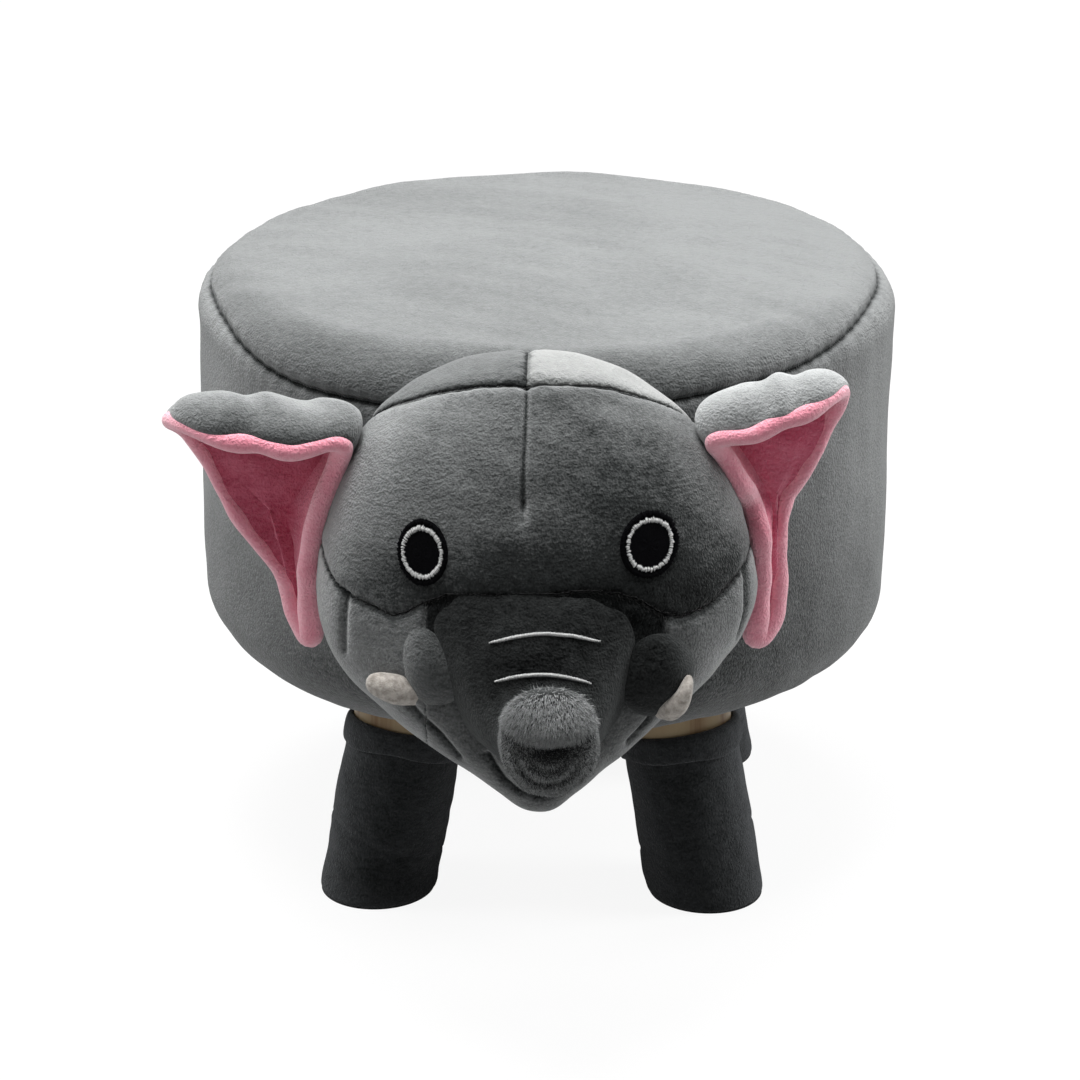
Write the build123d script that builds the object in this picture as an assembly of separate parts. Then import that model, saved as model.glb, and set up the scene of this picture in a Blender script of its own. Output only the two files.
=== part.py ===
from build123d import *
import math
import os

# A round padded footstool shaped like an elephant, in millimetres and degrees.
# +Z is up, the head looks along -Y, and the origin is on the floor under the seat's centre.

# Seat drum, outside of the plush cover
SEAT_DIAMETER = 280
SEAT_HEIGHT = 254
UNDERSIDE_HEIGHT = 91
CROWN_RISE = 4
SHOULDER_ROUND = 20
LOWER_ROUND = 26
COVER_THICKNESS = 2
RIM_SEAM_DROP = 8
FRONT_SEAM_DROP = 27
FRONT_SEAM_RUN = 82
HEM_WIDTH = 16

# Clearances
FIT = 0.3
OVERRUN = 20
BOLT_PLAY = 0.05

# Wooden frame inside the drum
BOARD_INSET = 28
BOARD_THICKNESS = 12
WALL_THICKNESS = 3
WALL_LIFT = 4
CUSHION_HEIGHT = 50
POST_SIDE = 28
POST_INSET = 28
POST_COUNT = 4
SCREW_SHANK_RADIUS = 2
SCREW_HEAD_RADIUS = 4
SCREW_HEAD_DEPTH = 3
SCREW_LENGTH = 38

# Underside
DUST_COVER_THICKNESS = 0.6
DUST_COVER_MARGIN = 8
STAPLE_COUNT = 16
STAPLE_WIDTH = 10
STAPLE_WIRE = 0.8
STAPLE_LEG = 7

# Legs, their plates and bolts
FOOT_INSET = 45
LEG_SPLAY = 14
LEG_FOOT_RADIUS = 21.4
LEG_TOP_RADIUS = 22
PLATE_SIDE = 42
PLATE_THICKNESS = 2
PLATE_SCREW_INSET = 6
PLATE_SCREW_RADIUS = 1.8
PLATE_SCREW_HEAD_RADIUS = 3.5
PLATE_SCREW_LENGTH = 10
BOSS_RADIUS = 11
BOLT_RADIUS = 4
BOLT_IN_LEG = 26
BOLT_IN_BOARD = 15
BOLT_HOLE_RADIUS = 5.5

# Socks
SOCK_WALL = 1.8
SOCK_SOLE = 2
SOCK_HEIGHT = 70
CUFF_HEIGHT = 9
CUFF_PROUD = 1.2

# Head, with its back against the drum; heights on it are shares of its rise from chin to crown
HEAD_WIDTH = 162
CHIN_LIFT = 13
CROWN_PROUD = 3
FACE_DEPTH = 80
HEAD_LEAN = 4
HEAD_SINK = 6
# Each level: height share, half-width share, depth share, share of the depth that the back stands off
HEAD_LEVEL_SHARES = (
    (0.0, 0.15, 0.90, 0.60),
    (0.04, 0.29, 0.96, 0.46),
    (0.10, 0.48, 1.0, 0.30),
    (0.19, 0.74, 1.0, 0.12),
    (0.29, 0.90, 0.98, 0.02),
    (0.44, 1.0, 0.95, 0.0),
    (0.59, 0.97, 0.90, 0.0),
    (0.74, 0.87, 0.80, 0.0),
    (0.86, 0.69, 0.65, 0.0),
    (0.94, 0.48, 0.50, 0.0),
    (0.98, 0.30, 0.38, 0.04),
    (1.0, 0.14, 0.28, 0.10),
)
# Places on a level's outline: back corner, widest point and front corner
BACK_CORNER_SHARE = 0.70
WIDEST_DEPTH_SHARE = 0.36
FRONT_CORNER_SHARES = (0.74, 0.76)
CROWN_SEAM_SLOPE = 50
CROWN_SEAM_SHARE = 0.967
CROWN_SEAM_DEPTH_SHARE = 0.50
FACE_SEAM_SLOPE = 24
FACE_SEAM_SHARE = 0.562
JAW_HALF_WIDTH = 42
FELT_THICKNESS = 0.8

# Eyes, embroidered on the forehead
EYE_SPACING = 80
EYE_SHARE = 0.634
EYE_SIZE = (20.5, 24.5)
EYE_RING_SIZE = (17.5, 19.5)
EYE_THREAD = 1.7

# Trunk: where each section stands, its half sizes and the fall of the trunk there
TRUNK_REACH = 118
TRUNK_TIP_SHARE = 0.288
TRUNK_ROOT_SHARE = 0.523
TRUNK_SHIFT = 7
TRUNK_TIP_RADIUS = 19.5
TRUNK_ROOT_HALF_WIDTH = 46
# Each section: reach share, fall share, width share, height share of the tip, tilt
TRUNK_SECTION_SHARES = (
    (0.55, 0.0, 1.0, 0.75, 0.0),
    (0.66, 0.30, 0.82, 1.0, 0.25),
    (0.77, 0.62, 0.55, 1.03, 0.50),
    (0.87, 0.88, 0.25, 1.02, 0.80),
    (0.965, 1.0, 0.0, 0.98, 1.0),
    (1.0, 1.02, 0.0, 0.72, 1.0),
)
TRUNK_ROOT_TILT = 48
WRINKLE_HALF_LENGTH = 20
WRINKLE_THREAD = 1.2
WRINKLE_FALL_SHARES = (0.60, 0.90)

# Lip folds beside the trunk, and the tusks in them
LIP_SPACING = 86
LIP_SHARE = 0.346
LIP_SHIFT = 5
LIP_SIZE = (13, 15, 10)
LIP_SECTION_SHARES = ((-1.0, 0.28), (-0.75, 0.66), (0.0, 1.0), (0.75, 0.66), (1.0, 0.28))
TUSK_SPACING = 100
TUSK_LENGTH = 17
TUSK_RADIUS = 6.5
TUSK_SHARE = 0.30
TUSK_AIM_SHARES = (1.0, 0.7, 0.35)
TUSK_SECTION_SHARES = ((0.0, 1.0), (0.45, 0.84), (0.8, 0.56), (1.0, 0.25))

# Ears: sewn on beside the crown, folded forwards at the top
EAR_THICKNESS = 7
EAR_ROOT_SHARE = 0.817
EAR_BACK_DEPTH = 10
EAR_ROOF_RADIUS = 14
EAR_ROOF_ROLL = 165
EAR_LOBE_SHARE = 0.30
EAR_LEFT_SPAN = 68
EAR_RIGHT_SPAN = 46
EAR_LEFT_LIFT = 0
EAR_RIGHT_LIFT = 12
EAR_SEAM_DEPTH = 4
EAR_HEAD_GAP = 0.4
# Each section: span share, share of the drop to the lobe, roof radius share
EAR_SECTION_SHARES = (
    (0.0, 0.90, 0.85),
    (0.42, 0.82, 1.0),
    (0.72, 0.53, 0.98),
    (1.0, 0.12, 0.70),
)
# Each level of the ear's inner wall: share of the drop, share of the roof's depth
EAR_WALL_SHARES = ((-0.10, 0.62), (0.25, 0.80), (0.55, 0.92), (0.85, 0.86), (1.0, 0.55))

# Tail at the back
TAIL_ROOT_DROP = 49
TAIL_LENGTH = 78
TAIL_RADIUS = 5.5
TUFT_RADIUS = 9
TUFT_LENGTH = 28
# Each section of the tuft: share of its length, share of its radius
TUFT_SECTION_SHARES = ((0, 0.61), (0.33, 1.0), (0.67, 0.9), (1.0, 0.3))

# Worked-out sizes
SEAT_RADIUS = SEAT_DIAMETER / 2
BOARD_RADIUS = SEAT_RADIUS - BOARD_INSET
POST_CIRCLE_RADIUS = BOARD_RADIUS - POST_INSET
SHOULDER_HEIGHT = SEAT_HEIGHT - CROWN_RISE
BOARD_BOTTOM = UNDERSIDE_HEIGHT + COVER_THICKNESS + FIT
BOARD_TOP = BOARD_BOTTOM + BOARD_THICKNESS
TOP_BOARD_TOP = SEAT_HEIGHT - COVER_THICKNESS - FIT - CUSHION_HEIGHT
TOP_BOARD_BOTTOM = TOP_BOARD_TOP - BOARD_THICKNESS
POST_LENGTH = TOP_BOARD_BOTTOM - BOARD_TOP
HEM_INNER_RADIUS = SEAT_RADIUS - LOWER_ROUND - HEM_WIDTH
DUST_COVER_RADIUS = HEM_INNER_RADIUS + DUST_COVER_MARGIN
DUST_COVER_BOTTOM = UNDERSIDE_HEIGHT - DUST_COVER_THICKNESS
FOOT_CIRCLE_RADIUS = SEAT_RADIUS - FOOT_INSET
CHIN_HEIGHT = UNDERSIDE_HEIGHT + CHIN_LIFT
HEAD_RISE = SEAT_HEIGHT + CROWN_PROUD - CHIN_HEIGHT
EYE_HEIGHT = CHIN_HEIGHT + EYE_SHARE * HEAD_RISE
CROWN_SEAM_HEIGHT = CHIN_HEIGHT + CROWN_SEAM_SHARE * HEAD_RISE
FACE_SEAM_HEIGHT = CHIN_HEIGHT + FACE_SEAM_SHARE * HEAD_RISE
TRUNK_TIP_HEIGHT = CHIN_HEIGHT + TRUNK_TIP_SHARE * HEAD_RISE
TRUNK_FALL = (TRUNK_ROOT_SHARE - TRUNK_TIP_SHARE) * HEAD_RISE
TRUNK_ROOT_HEIGHT = TRUNK_TIP_HEIGHT + TRUNK_FALL
LIP_HEIGHT = CHIN_HEIGHT + LIP_SHARE * HEAD_RISE
TUSK_HEIGHT = CHIN_HEIGHT + TUSK_SHARE * HEAD_RISE
EAR_ROOT_HEIGHT = CHIN_HEIGHT + EAR_ROOT_SHARE * HEAD_RISE
EAR_DROP = (EAR_ROOT_SHARE - EAR_LOBE_SHARE) * HEAD_RISE
HEAD_BACK_RADIUS = SEAT_RADIUS + FIT


def drum(inset):
    """The cover's outside, or a surface inset from it: flat below, rounded at both rims, crowned on top."""
    low = UNDERSIDE_HEIGHT + inset
    wall = SEAT_RADIUS - inset
    low_round = LOWER_ROUND - inset
    top_round = SHOULDER_ROUND - inset
    low_centre = (SEAT_RADIUS - LOWER_ROUND, UNDERSIDE_HEIGHT + LOWER_ROUND)
    top_centre = (SEAT_RADIUS - SHOULDER_ROUND, SHOULDER_HEIGHT - SHOULDER_ROUND)
    slant = math.sqrt(0.5)
    low_mid = (low_centre[0] + low_round * slant, low_centre[1] - low_round * slant)
    top_mid = (top_centre[0] + top_round * slant, top_centre[1] + top_round * slant)
    crown_edge = (top_centre[0], SHOULDER_HEIGHT - inset)
    ball = (top_centre[0] ** 2 + CROWN_RISE**2) / (2 * CROWN_RISE)
    half_way = top_centre[0] / 2
    crown_mid = (half_way, SEAT_HEIGHT - inset - ball + math.sqrt(ball**2 - half_way**2))
    crown_top = (0, SEAT_HEIGHT - inset)
    outline = [
        Line((0, low), (low_centre[0], low)),
        ThreePointArc((low_centre[0], low), low_mid, (wall, low_centre[1])),
        Line((wall, low_centre[1]), (wall, top_centre[1])),
        ThreePointArc((wall, top_centre[1]), top_mid, crown_edge),
        ThreePointArc(crown_edge, crown_mid, crown_top),
        Line(crown_top, (0, low)),
    ]
    return revolve(Plane.XZ * make_face(outline), Axis.Z)


def disc(radius, low, high):
    """A round slab on the seat's axis between two heights."""
    return Pos(0, 0, low) * Cylinder(radius, high - low, align=(Align.CENTER, Align.CENTER, Align.MIN))


def above(height):
    """A block that holds everything above a height."""
    reach = SEAT_DIAMETER + OVERRUN
    return Pos(0, 0, height) * Box(2 * reach, 2 * reach, reach, align=(Align.CENTER, Align.CENTER, Align.MIN))


def beyond(point, slope):
    """A block on the upper side of a plane through point, the plane falling away from the front."""
    reach = SEAT_DIAMETER + OVERRUN
    block = Box(2 * reach, 2 * reach, reach, align=(Align.CENTER, Align.CENTER, Align.MIN))
    return Pos(*point) * Rot(slope, 0, 0) * block


def beside(x, side):
    """A block that holds everything on one side of an upright plane across the width."""
    reach = SEAT_DIAMETER + OVERRUN
    block = Box(reach, 2 * reach, 2 * reach, align=(Align.MIN, Align.CENTER, Align.CENTER))
    return Pos(x, 0, SEAT_HEIGHT / 2) * Rot(0, 0, 0 if side > 0 else 180) * block


def seam_zone():
    """Everything above the seam that joins the top panel to the side panel: it dips at the front."""
    reach = SEAT_DIAMETER + OVERRUN
    rim = SHOULDER_HEIGHT - RIM_SEAM_DROP
    front = SEAT_HEIGHT - FRONT_SEAM_DROP
    slope = (rim - front) / FRONT_SEAM_RUN
    start = -SEAT_RADIUS - OVERRUN
    outline = Polyline(
        (start, front - slope * OVERRUN),
        (-SEAT_RADIUS + FRONT_SEAM_RUN, rim),
        (-SEAT_RADIUS + FRONT_SEAM_RUN, SEAT_HEIGHT + OVERRUN),
        (start, SEAT_HEIGHT + OVERRUN),
        close=True,
    )
    wedge = extrude(Plane.YZ * make_face(outline), amount=reach, both=True)
    return wedge + above(rim)


def cover_panels():
    """The plush cover: a top panel sewn to a side panel, whose lower edge turns under the drum."""
    skin = drum(0) - drum(COVER_THICKNESS)
    zone = seam_zone()
    top = skin & zone
    side = skin - zone - disc(HEM_INNER_RADIUS, UNDERSIDE_HEIGHT - OVERRUN, BOARD_TOP)
    return top, side


def padding():
    """The foam: a thick crowned cushion on the top board and a ring round the drum's wall."""
    inside = drum(COVER_THICKNESS + FIT)
    cushion = inside & above(TOP_BOARD_TOP + FIT)
    ring = inside - above(TOP_BOARD_TOP) - disc(BOARD_RADIUS + WALL_THICKNESS, 0, SEAT_HEIGHT)
    return cushion, ring


def wood_screw(shank_radius, head_radius, head_depth, length):
    """A countersunk screw, its head's face at the origin and its shank along +Z."""
    head = Cone(head_radius, shank_radius, head_depth, align=(Align.CENTER, Align.CENTER, Align.MIN))
    shank = Cylinder(shank_radius, length, align=(Align.CENTER, Align.CENTER, Align.MIN))
    return head + shank


def post_places():
    """The corners of the frame, one on each axis."""
    turns = [360 * index / POST_COUNT for index in range(POST_COUNT)]
    return [Rot(0, 0, turn) * Pos(POST_CIRCLE_RADIUS, 0, 0) for turn in turns]


def frame_screws():
    """Screws through both boards into the ends of the posts."""
    screw = wood_screw(SCREW_SHANK_RADIUS, SCREW_HEAD_RADIUS, SCREW_HEAD_DEPTH, SCREW_LENGTH)
    from_below = [place * Pos(0, 0, BOARD_BOTTOM) * screw for place in post_places()]
    from_above = [place * Pos(0, 0, TOP_BOARD_TOP) * Rot(180, 0, 0) * screw for place in post_places()]
    return from_below + from_above


def frame_posts(screws):
    """Square posts between the two boards."""
    post = Box(POST_SIDE, POST_SIDE, POST_LENGTH, align=(Align.CENTER, Align.CENTER, Align.MIN))
    return [place * Pos(0, 0, BOARD_TOP) * post - screws for place in post_places()]


def staples():
    """Wire staples that hold the dust cover and the cover's hem to the base board."""
    crown = Pos(0, 0, DUST_COVER_BOTTOM - STAPLE_WIRE) * Box(
        STAPLE_WIRE, STAPLE_WIDTH, STAPLE_WIRE, align=(Align.CENTER, Align.CENTER, Align.MIN)
    )
    leg = Box(STAPLE_WIRE, STAPLE_WIRE, STAPLE_LEG, align=(Align.CENTER, Align.CENTER, Align.MIN))
    reach = (STAPLE_WIDTH - STAPLE_WIRE) / 2
    one = crown + Pos(0, reach, DUST_COVER_BOTTOM) * leg + Pos(0, -reach, DUST_COVER_BOTTOM) * leg
    radius = (HEM_INNER_RADIUS + DUST_COVER_RADIUS) / 2
    pitch = 360 / STAPLE_COUNT
    turns = [pitch / 2 + pitch * index for index in range(STAPLE_COUNT)]
    return [Rot(0, 0, turn) * Pos(radius, 0, 0) * one for turn in turns]


# Legs

SPLAY_SINE = math.sin(math.radians(LEG_SPLAY))
SPLAY_COSINE = math.cos(math.radians(LEG_SPLAY))
LEG_TOP_HEIGHT = DUST_COVER_BOTTOM - FIT - LEG_TOP_RADIUS * SPLAY_SINE
LEG_LENGTH = LEG_TOP_HEIGHT / SPLAY_COSINE
LEG_NAMES = {"front_left": 225, "front_right": 315, "rear_right": 45, "rear_left": 135}


def leg_frame(azimuth):
    """A frame at the centre of a foot on the floor, with its z along the leg and its x away from the seat."""
    turn = math.radians(azimuth)
    outward = Vector(math.cos(turn), math.sin(turn), 0)
    foot = outward * FOOT_CIRCLE_RADIUS
    along = outward * -SPLAY_SINE + Vector(0, 0, SPLAY_COSINE)
    return Plane(origin=foot, x_dir=Vector(-math.sin(turn), math.cos(turn), 0), z_dir=along)


def leg_cone(frame, extra, top):
    """A tapered round bar along the leg, extra larger in radius, from below the floor to top."""
    slope = (LEG_TOP_RADIUS - LEG_FOOT_RADIUS) / LEG_LENGTH
    low = LEG_FOOT_RADIUS - slope * OVERRUN + extra
    high = LEG_FOOT_RADIUS + slope * top + extra
    bar = Cone(low, high, top + OVERRUN, align=(Align.CENTER, Align.CENTER, Align.MIN))
    return frame * Pos(0, 0, -OVERRUN) * bar


def leg_bolt(frame):
    """A hanger bolt: its lower half glued in the leg, its upper half screwed into the plate."""
    bar = Cylinder(BOLT_RADIUS, BOLT_IN_LEG + BOLT_IN_BOARD, align=(Align.CENTER, Align.CENTER, Align.MIN))
    return frame * Pos(0, 0, LEG_LENGTH - BOLT_IN_LEG) * bar


def leg(frame, bolt):
    """A tapered pine leg, sawn flat for the floor and square to its own length at the top."""
    return (leg_cone(frame, 0, LEG_LENGTH) & above(SOCK_SOLE + FIT)) - bolt


def leg_plate(frame, azimuth, screws):
    """A steel plate under the base board, with a slanted boss that the leg's bolt screws into."""
    turn = math.radians(azimuth)
    reach = FOOT_CIRCLE_RADIUS - BOARD_BOTTOM * math.tan(math.radians(LEG_SPLAY))
    flat = Box(PLATE_SIDE, PLATE_SIDE, PLATE_THICKNESS, align=(Align.CENTER, Align.CENTER, Align.MAX))
    flat = Pos(reach * math.cos(turn), reach * math.sin(turn), BOARD_BOTTOM) * Rot(0, 0, azimuth) * flat
    boss = frame * Pos(0, 0, LEG_LENGTH + FIT) * Cylinder(
        BOSS_RADIUS, OVERRUN, align=(Align.CENTER, Align.CENTER, Align.MIN)
    )
    hole = frame * Cylinder(
        BOLT_RADIUS + BOLT_PLAY, 2 * LEG_LENGTH, align=(Align.CENTER, Align.CENTER, Align.MIN)
    )
    return flat + (boss - above(BOARD_BOTTOM)) - hole - screws


def plate_screws(azimuth):
    """The four countersunk screws of one leg plate."""
    turn = math.radians(azimuth)
    reach = FOOT_CIRCLE_RADIUS - BOARD_BOTTOM * math.tan(math.radians(LEG_SPLAY))
    screw = wood_screw(PLATE_SCREW_RADIUS, PLATE_SCREW_HEAD_RADIUS, PLATE_THICKNESS, PLATE_SCREW_LENGTH)
    face = BOARD_BOTTOM - PLATE_THICKNESS
    place = Pos(reach * math.cos(turn), reach * math.sin(turn), face) * Rot(0, 0, azimuth)
    step = PLATE_SIDE / 2 - PLATE_SCREW_INSET
    return [place * Pos(x, y, 0) * screw for x in (-step, step) for y in (-step, step)]


def sock(frame):
    """A plush sock: a closed tube with a flat sole and a turned-over cuff."""
    wall = FIT + SOCK_WALL
    outer = leg_cone(frame, wall, SOCK_HEIGHT)
    cuff = leg_cone(frame, wall + CUFF_PROUD, SOCK_HEIGHT) - leg_cone(frame, wall, SOCK_HEIGHT - CUFF_HEIGHT)
    below_cuff = frame * Pos(0, 0, SOCK_HEIGHT - CUFF_HEIGHT) * Cylinder(
        2 * LEG_TOP_RADIUS, 2 * LEG_LENGTH, align=(Align.CENTER, Align.CENTER, Align.MAX)
    )
    body = (outer + (cuff - below_cuff)) & above(0)
    room = leg_cone(frame, FIT, SOCK_HEIGHT + OVERRUN) & above(SOCK_SOLE)
    return body - room


# Head

def spread(share, table, column):
    """The value of a column of the head's table at a height share, straight between its rows."""
    for low, high in zip(table, table[1:]):
        if share <= high[0]:
            part = (share - low[0]) / (high[0] - low[0])
            return low[column] + part * (high[column] - low[column])
    return table[-1][column]


def head_half_width(height):
    """Half the head's width at a height."""
    share = (height - CHIN_HEIGHT) / HEAD_RISE
    return spread(share, HEAD_LEVEL_SHARES, 1) * HEAD_WIDTH / 2


def head_shift(share):
    """How far the head leans to the right at a height share: the chin more than the crown."""
    return HEAD_LEAN * (0.5 - share)


def head_level(row, inset):
    """One level outline of the head: a back that hugs the drum, full cheeks and a rounded face."""
    rise, width, depth, off = row
    half = width * HEAD_WIDTH / 2 - inset
    back = HEAD_BACK_RADIUS - HEAD_SINK + off * FACE_DEPTH + inset
    front = HEAD_BACK_RADIUS + depth * FACE_DEPTH - inset
    corner = BACK_CORNER_SHARE * half
    corner_depth = math.sqrt(back * back - corner * corner)
    widest = back + WIDEST_DEPTH_SHARE * (front - back)
    side = FRONT_CORNER_SHARES[0] * half
    side_depth = widest + FRONT_CORNER_SHARES[1] * (front - widest)
    shift = head_shift(rise)
    left_back, right_back = (shift - corner, -corner_depth), (shift + corner, -corner_depth)
    left_side, right_side = (shift - side, -side_depth), (shift + side, -side_depth)
    edges = [
        ThreePointArc(left_back, (shift, -back), right_back),
        ThreePointArc(right_back, (shift + half, -widest), right_side),
        ThreePointArc(right_side, (shift, -front), left_side),
        ThreePointArc(left_side, (shift - half, -widest), left_back),
    ]
    height = CHIN_HEIGHT + rise * HEAD_RISE
    height += inset if rise < 0.5 else -inset
    return Pos(0, 0, height) * make_face(edges)


def face_depth(x, height):
    """How far the face stands in front of the seat's axis at a place across the head."""
    share = (height - CHIN_HEIGHT) / HEAD_RISE
    front = HEAD_BACK_RADIUS + spread(share, HEAD_LEVEL_SHARES, 2) * FACE_DEPTH
    widest = HEAD_BACK_RADIUS + WIDEST_DEPTH_SHARE * (front - HEAD_BACK_RADIUS)
    across = (x - head_shift(share)) / head_half_width(height)
    return widest + (front - widest) * math.sqrt(1 - across * across)


def head_form(inset):
    """The stuffed head, or a surface inset from it: a loft from chin to crown, hollowed by the drum behind."""
    form = loft([head_level(row, inset) for row in HEAD_LEVEL_SHARES])
    return form - drum(-FIT - max(inset, 0))


def head_panels(outside, stuffing):
    """The head's plush panels: two for the crown, the forehead, two cheeks and the jaw."""
    skin = outside - stuffing
    crown_point = (0, -HEAD_BACK_RADIUS - CROWN_SEAM_DEPTH_SHARE * FACE_DEPTH, CROWN_SEAM_HEIGHT)
    face_point = (0, -HEAD_BACK_RADIUS - FACE_DEPTH, FACE_SEAM_HEIGHT)
    crown_zone = beyond(crown_point, -CROWN_SEAM_SLOPE)
    upper = beyond(face_point, -FACE_SEAM_SLOPE)
    crown = skin & crown_zone
    rest = skin - crown_zone
    lower = rest - upper
    left = beside(-JAW_HALF_WIDTH, -1)
    right = beside(JAW_HALF_WIDTH, 1)
    return {
        "head_crown_left": crown & beside(0, -1),
        "head_crown_right": crown & beside(0, 1),
        "head_forehead": rest & upper,
        "head_cheek_left": lower & left,
        "head_cheek_right": lower & right,
        "head_jaw": lower - left - right,
    }


def oval(half_width, half_height):
    """A closed outline of four arcs with the given half sizes, centred on the origin."""
    slant = math.sqrt(0.5)
    quarters = ((1, 1), (-1, 1), (-1, -1), (1, -1))
    edges = []
    for index, (x, y) in enumerate(quarters):
        ends = [(x * half_width, 0), (0, y * half_height)]
        if index % 2:
            ends.reverse()
        middle = (x * half_width * slant, y * half_height * slant)
        edges.append(ThreePointArc(ends[0], middle, ends[1]))
    return make_face(edges)


def trunk_form(inset):
    """The trunk: a loft down from the face that narrows and turns level at its round tip."""
    sections = []
    for reach, fall, width, height, level in TRUNK_SECTION_SHARES:
        depth = SEAT_RADIUS + reach * TRUNK_REACH
        drop = TRUNK_ROOT_HEIGHT - fall * TRUNK_FALL
        half_width = TRUNK_TIP_RADIUS + width * (TRUNK_ROOT_HALF_WIDTH - TRUNK_TIP_RADIUS) - inset
        if width == 0:
            half_width = TRUNK_TIP_RADIUS * height - inset
        half_height = TRUNK_TIP_RADIUS * height - inset
        tilt = math.radians(TRUNK_ROOT_TILT * (1 - level))
        ahead = Vector(0, -math.cos(tilt), -math.sin(tilt))
        plane = Plane(origin=(TRUNK_SHIFT, -depth, drop), x_dir=(1, 0, 0), z_dir=ahead)
        sections.append(plane * oval(half_width, half_height))
    return loft(sections)


def trunk_wrinkles(trunk):
    """Two rows of satin stitch across the top of the trunk."""
    proud = trunk_form(-FELT_THICKNESS) - trunk
    falls = [(fall, reach) for reach, fall, width, height, level in TRUNK_SECTION_SHARES]
    rows = []
    for share in WRINKLE_FALL_SHARES:
        depth = SEAT_RADIUS + spread(share, falls, 1) * TRUNK_REACH
        drop = TRUNK_ROOT_HEIGHT - share * TRUNK_FALL
        tilt = TRUNK_ROOT_TILT * (1 - share)
        band = Box(
            2 * WRINKLE_HALF_LENGTH,
            WRINKLE_THREAD,
            2 * TRUNK_TIP_RADIUS,
            align=(Align.CENTER, Align.CENTER, Align.MIN),
        )
        rows.append(Pos(TRUNK_SHIFT, -depth, drop) * Rot(tilt, 0, 0) * band & proud)
    return rows


def eye(side, outside):
    """An embroidered eye on the forehead: a black patch and a pale ring of satin stitch on it."""
    place = Pos(HEAD_LEAN / 2 + side * EYE_SPACING / 2, -HEAD_BACK_RADIUS, EYE_HEIGHT) * Rot(90, 0, 0)
    reach = FACE_DEPTH + OVERRUN
    patch_prism = place * extrude(oval(EYE_SIZE[0] / 2, EYE_SIZE[1] / 2), amount=reach)
    ring_outer = place * extrude(oval(EYE_RING_SIZE[0] / 2, EYE_RING_SIZE[1] / 2), amount=reach)
    ring_inner = place * extrude(
        oval(EYE_RING_SIZE[0] / 2 - EYE_THREAD, EYE_RING_SIZE[1] / 2 - EYE_THREAD), amount=reach
    )
    first = head_form(-FELT_THICKNESS)
    second = head_form(-2 * FELT_THICKNESS)
    patch = (first - outside) & patch_prism
    ring = (second - first) & (ring_outer - ring_inner)
    return patch, ring


def lip_fold(side, head, trunk):
    """A stuffed fold beside the trunk that the tusk stands in."""
    across, high, deep = LIP_SIZE
    x = LIP_SHIFT + side * LIP_SPACING / 2
    y = -face_depth(x, LIP_HEIGHT)
    sections = []
    for share, size in LIP_SECTION_SHARES:
        sections.append(Pos(x, y, LIP_HEIGHT + share * high) * oval(across * size, deep * size))
    return loft(sections) - head - trunk


def tusk(side, head, lip):
    """A short felt tusk that points outwards and down."""
    x = HEAD_LEAN / 2 + side * TUSK_SPACING / 2
    ahead = Vector(side * TUSK_AIM_SHARES[0], -TUSK_AIM_SHARES[1], -TUSK_AIM_SHARES[2]).normalized()
    start = Vector(x, -face_depth(x, TUSK_HEIGHT), TUSK_HEIGHT)
    sections = []
    for share, size in TUSK_SECTION_SHARES:
        plane = Plane(origin=start + ahead * (share * TUSK_LENGTH), z_dir=ahead)
        sections.append(plane * oval(TUSK_RADIUS * size, TUSK_RADIUS * size))
    return loft(sections) - head - lip


# Ears

def ear_hook(span, lift, near, far):
    """The folded leaf of an ear between two depths of its thickness: a back wall that rolls over into a roof."""
    root = head_half_width(EAR_ROOT_HEIGHT) - EAR_SEAM_DEPTH
    back = HEAD_BACK_RADIUS + EAR_BACK_DEPTH
    sections = []
    for out, low, roof in EAR_SECTION_SHARES:
        rise = EAR_ROOT_HEIGHT + out * lift
        bottom = rise - low * EAR_DROP
        radius = EAR_ROOF_RADIUS * roof
        centre = -back - radius
        roll = math.radians(EAR_ROOF_ROLL)
        bends = (0, roll / 2, roll)
        outside, inside = (
            [(centre + bend * math.cos(a), rise + bend * math.sin(a)) for a in bends]
            for bend in (radius - near, radius - far)
        )
        outline = [
            Line((outside[0][0], bottom), outside[0]),
            ThreePointArc(*outside),
            Line(outside[2], inside[2]),
            ThreePointArc(*reversed(inside)),
            Line(inside[0], (inside[0][0], bottom)),
            Line((inside[0][0], bottom), (outside[0][0], bottom)),
        ]
        sections.append(Pos(root + out * (span + EAR_SEAM_DEPTH), 0, 0) * (Plane.YZ * make_face(outline)))
    return loft(sections)


def ear_wall(near, far):
    """The inner wall of an ear, which hangs beside the cheek, between two depths of its thickness."""
    back = HEAD_BACK_RADIUS + EAR_BACK_DEPTH
    sections = []
    for fall, depth in reversed(EAR_WALL_SHARES):
        height = EAR_ROOT_HEIGHT - fall * EAR_DROP
        x = head_half_width(height) + EAR_HEAD_GAP
        front = back + 2 * EAR_ROOF_RADIUS * depth
        outline = Polyline(
            (x + near, -back),
            (x + near, -front),
            (x + far, -front),
            (x + far, -back),
            close=True,
        )
        sections.append(Pos(0, 0, height) * make_face(outline))
    return loft(sections)


def ear(side, span, lift, room):
    """One ear of two layers: grey plush outside and towards the head, pink plush inside."""
    half = EAR_THICKNESS / 2
    outer = ear_hook(span, lift, 0, half) + ear_wall(0, half)
    inner = ear_hook(span, lift, half, EAR_THICKNESS) + ear_wall(half, EAR_THICKNESS) - outer
    inner = inner.solids().sort_by(SortBy.VOLUME)[-1]
    if side < 0:
        outer = mirror(outer, about=Plane.YZ)
        inner = mirror(inner, about=Plane.YZ)
    return outer - room, inner - room


# Tail

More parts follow.
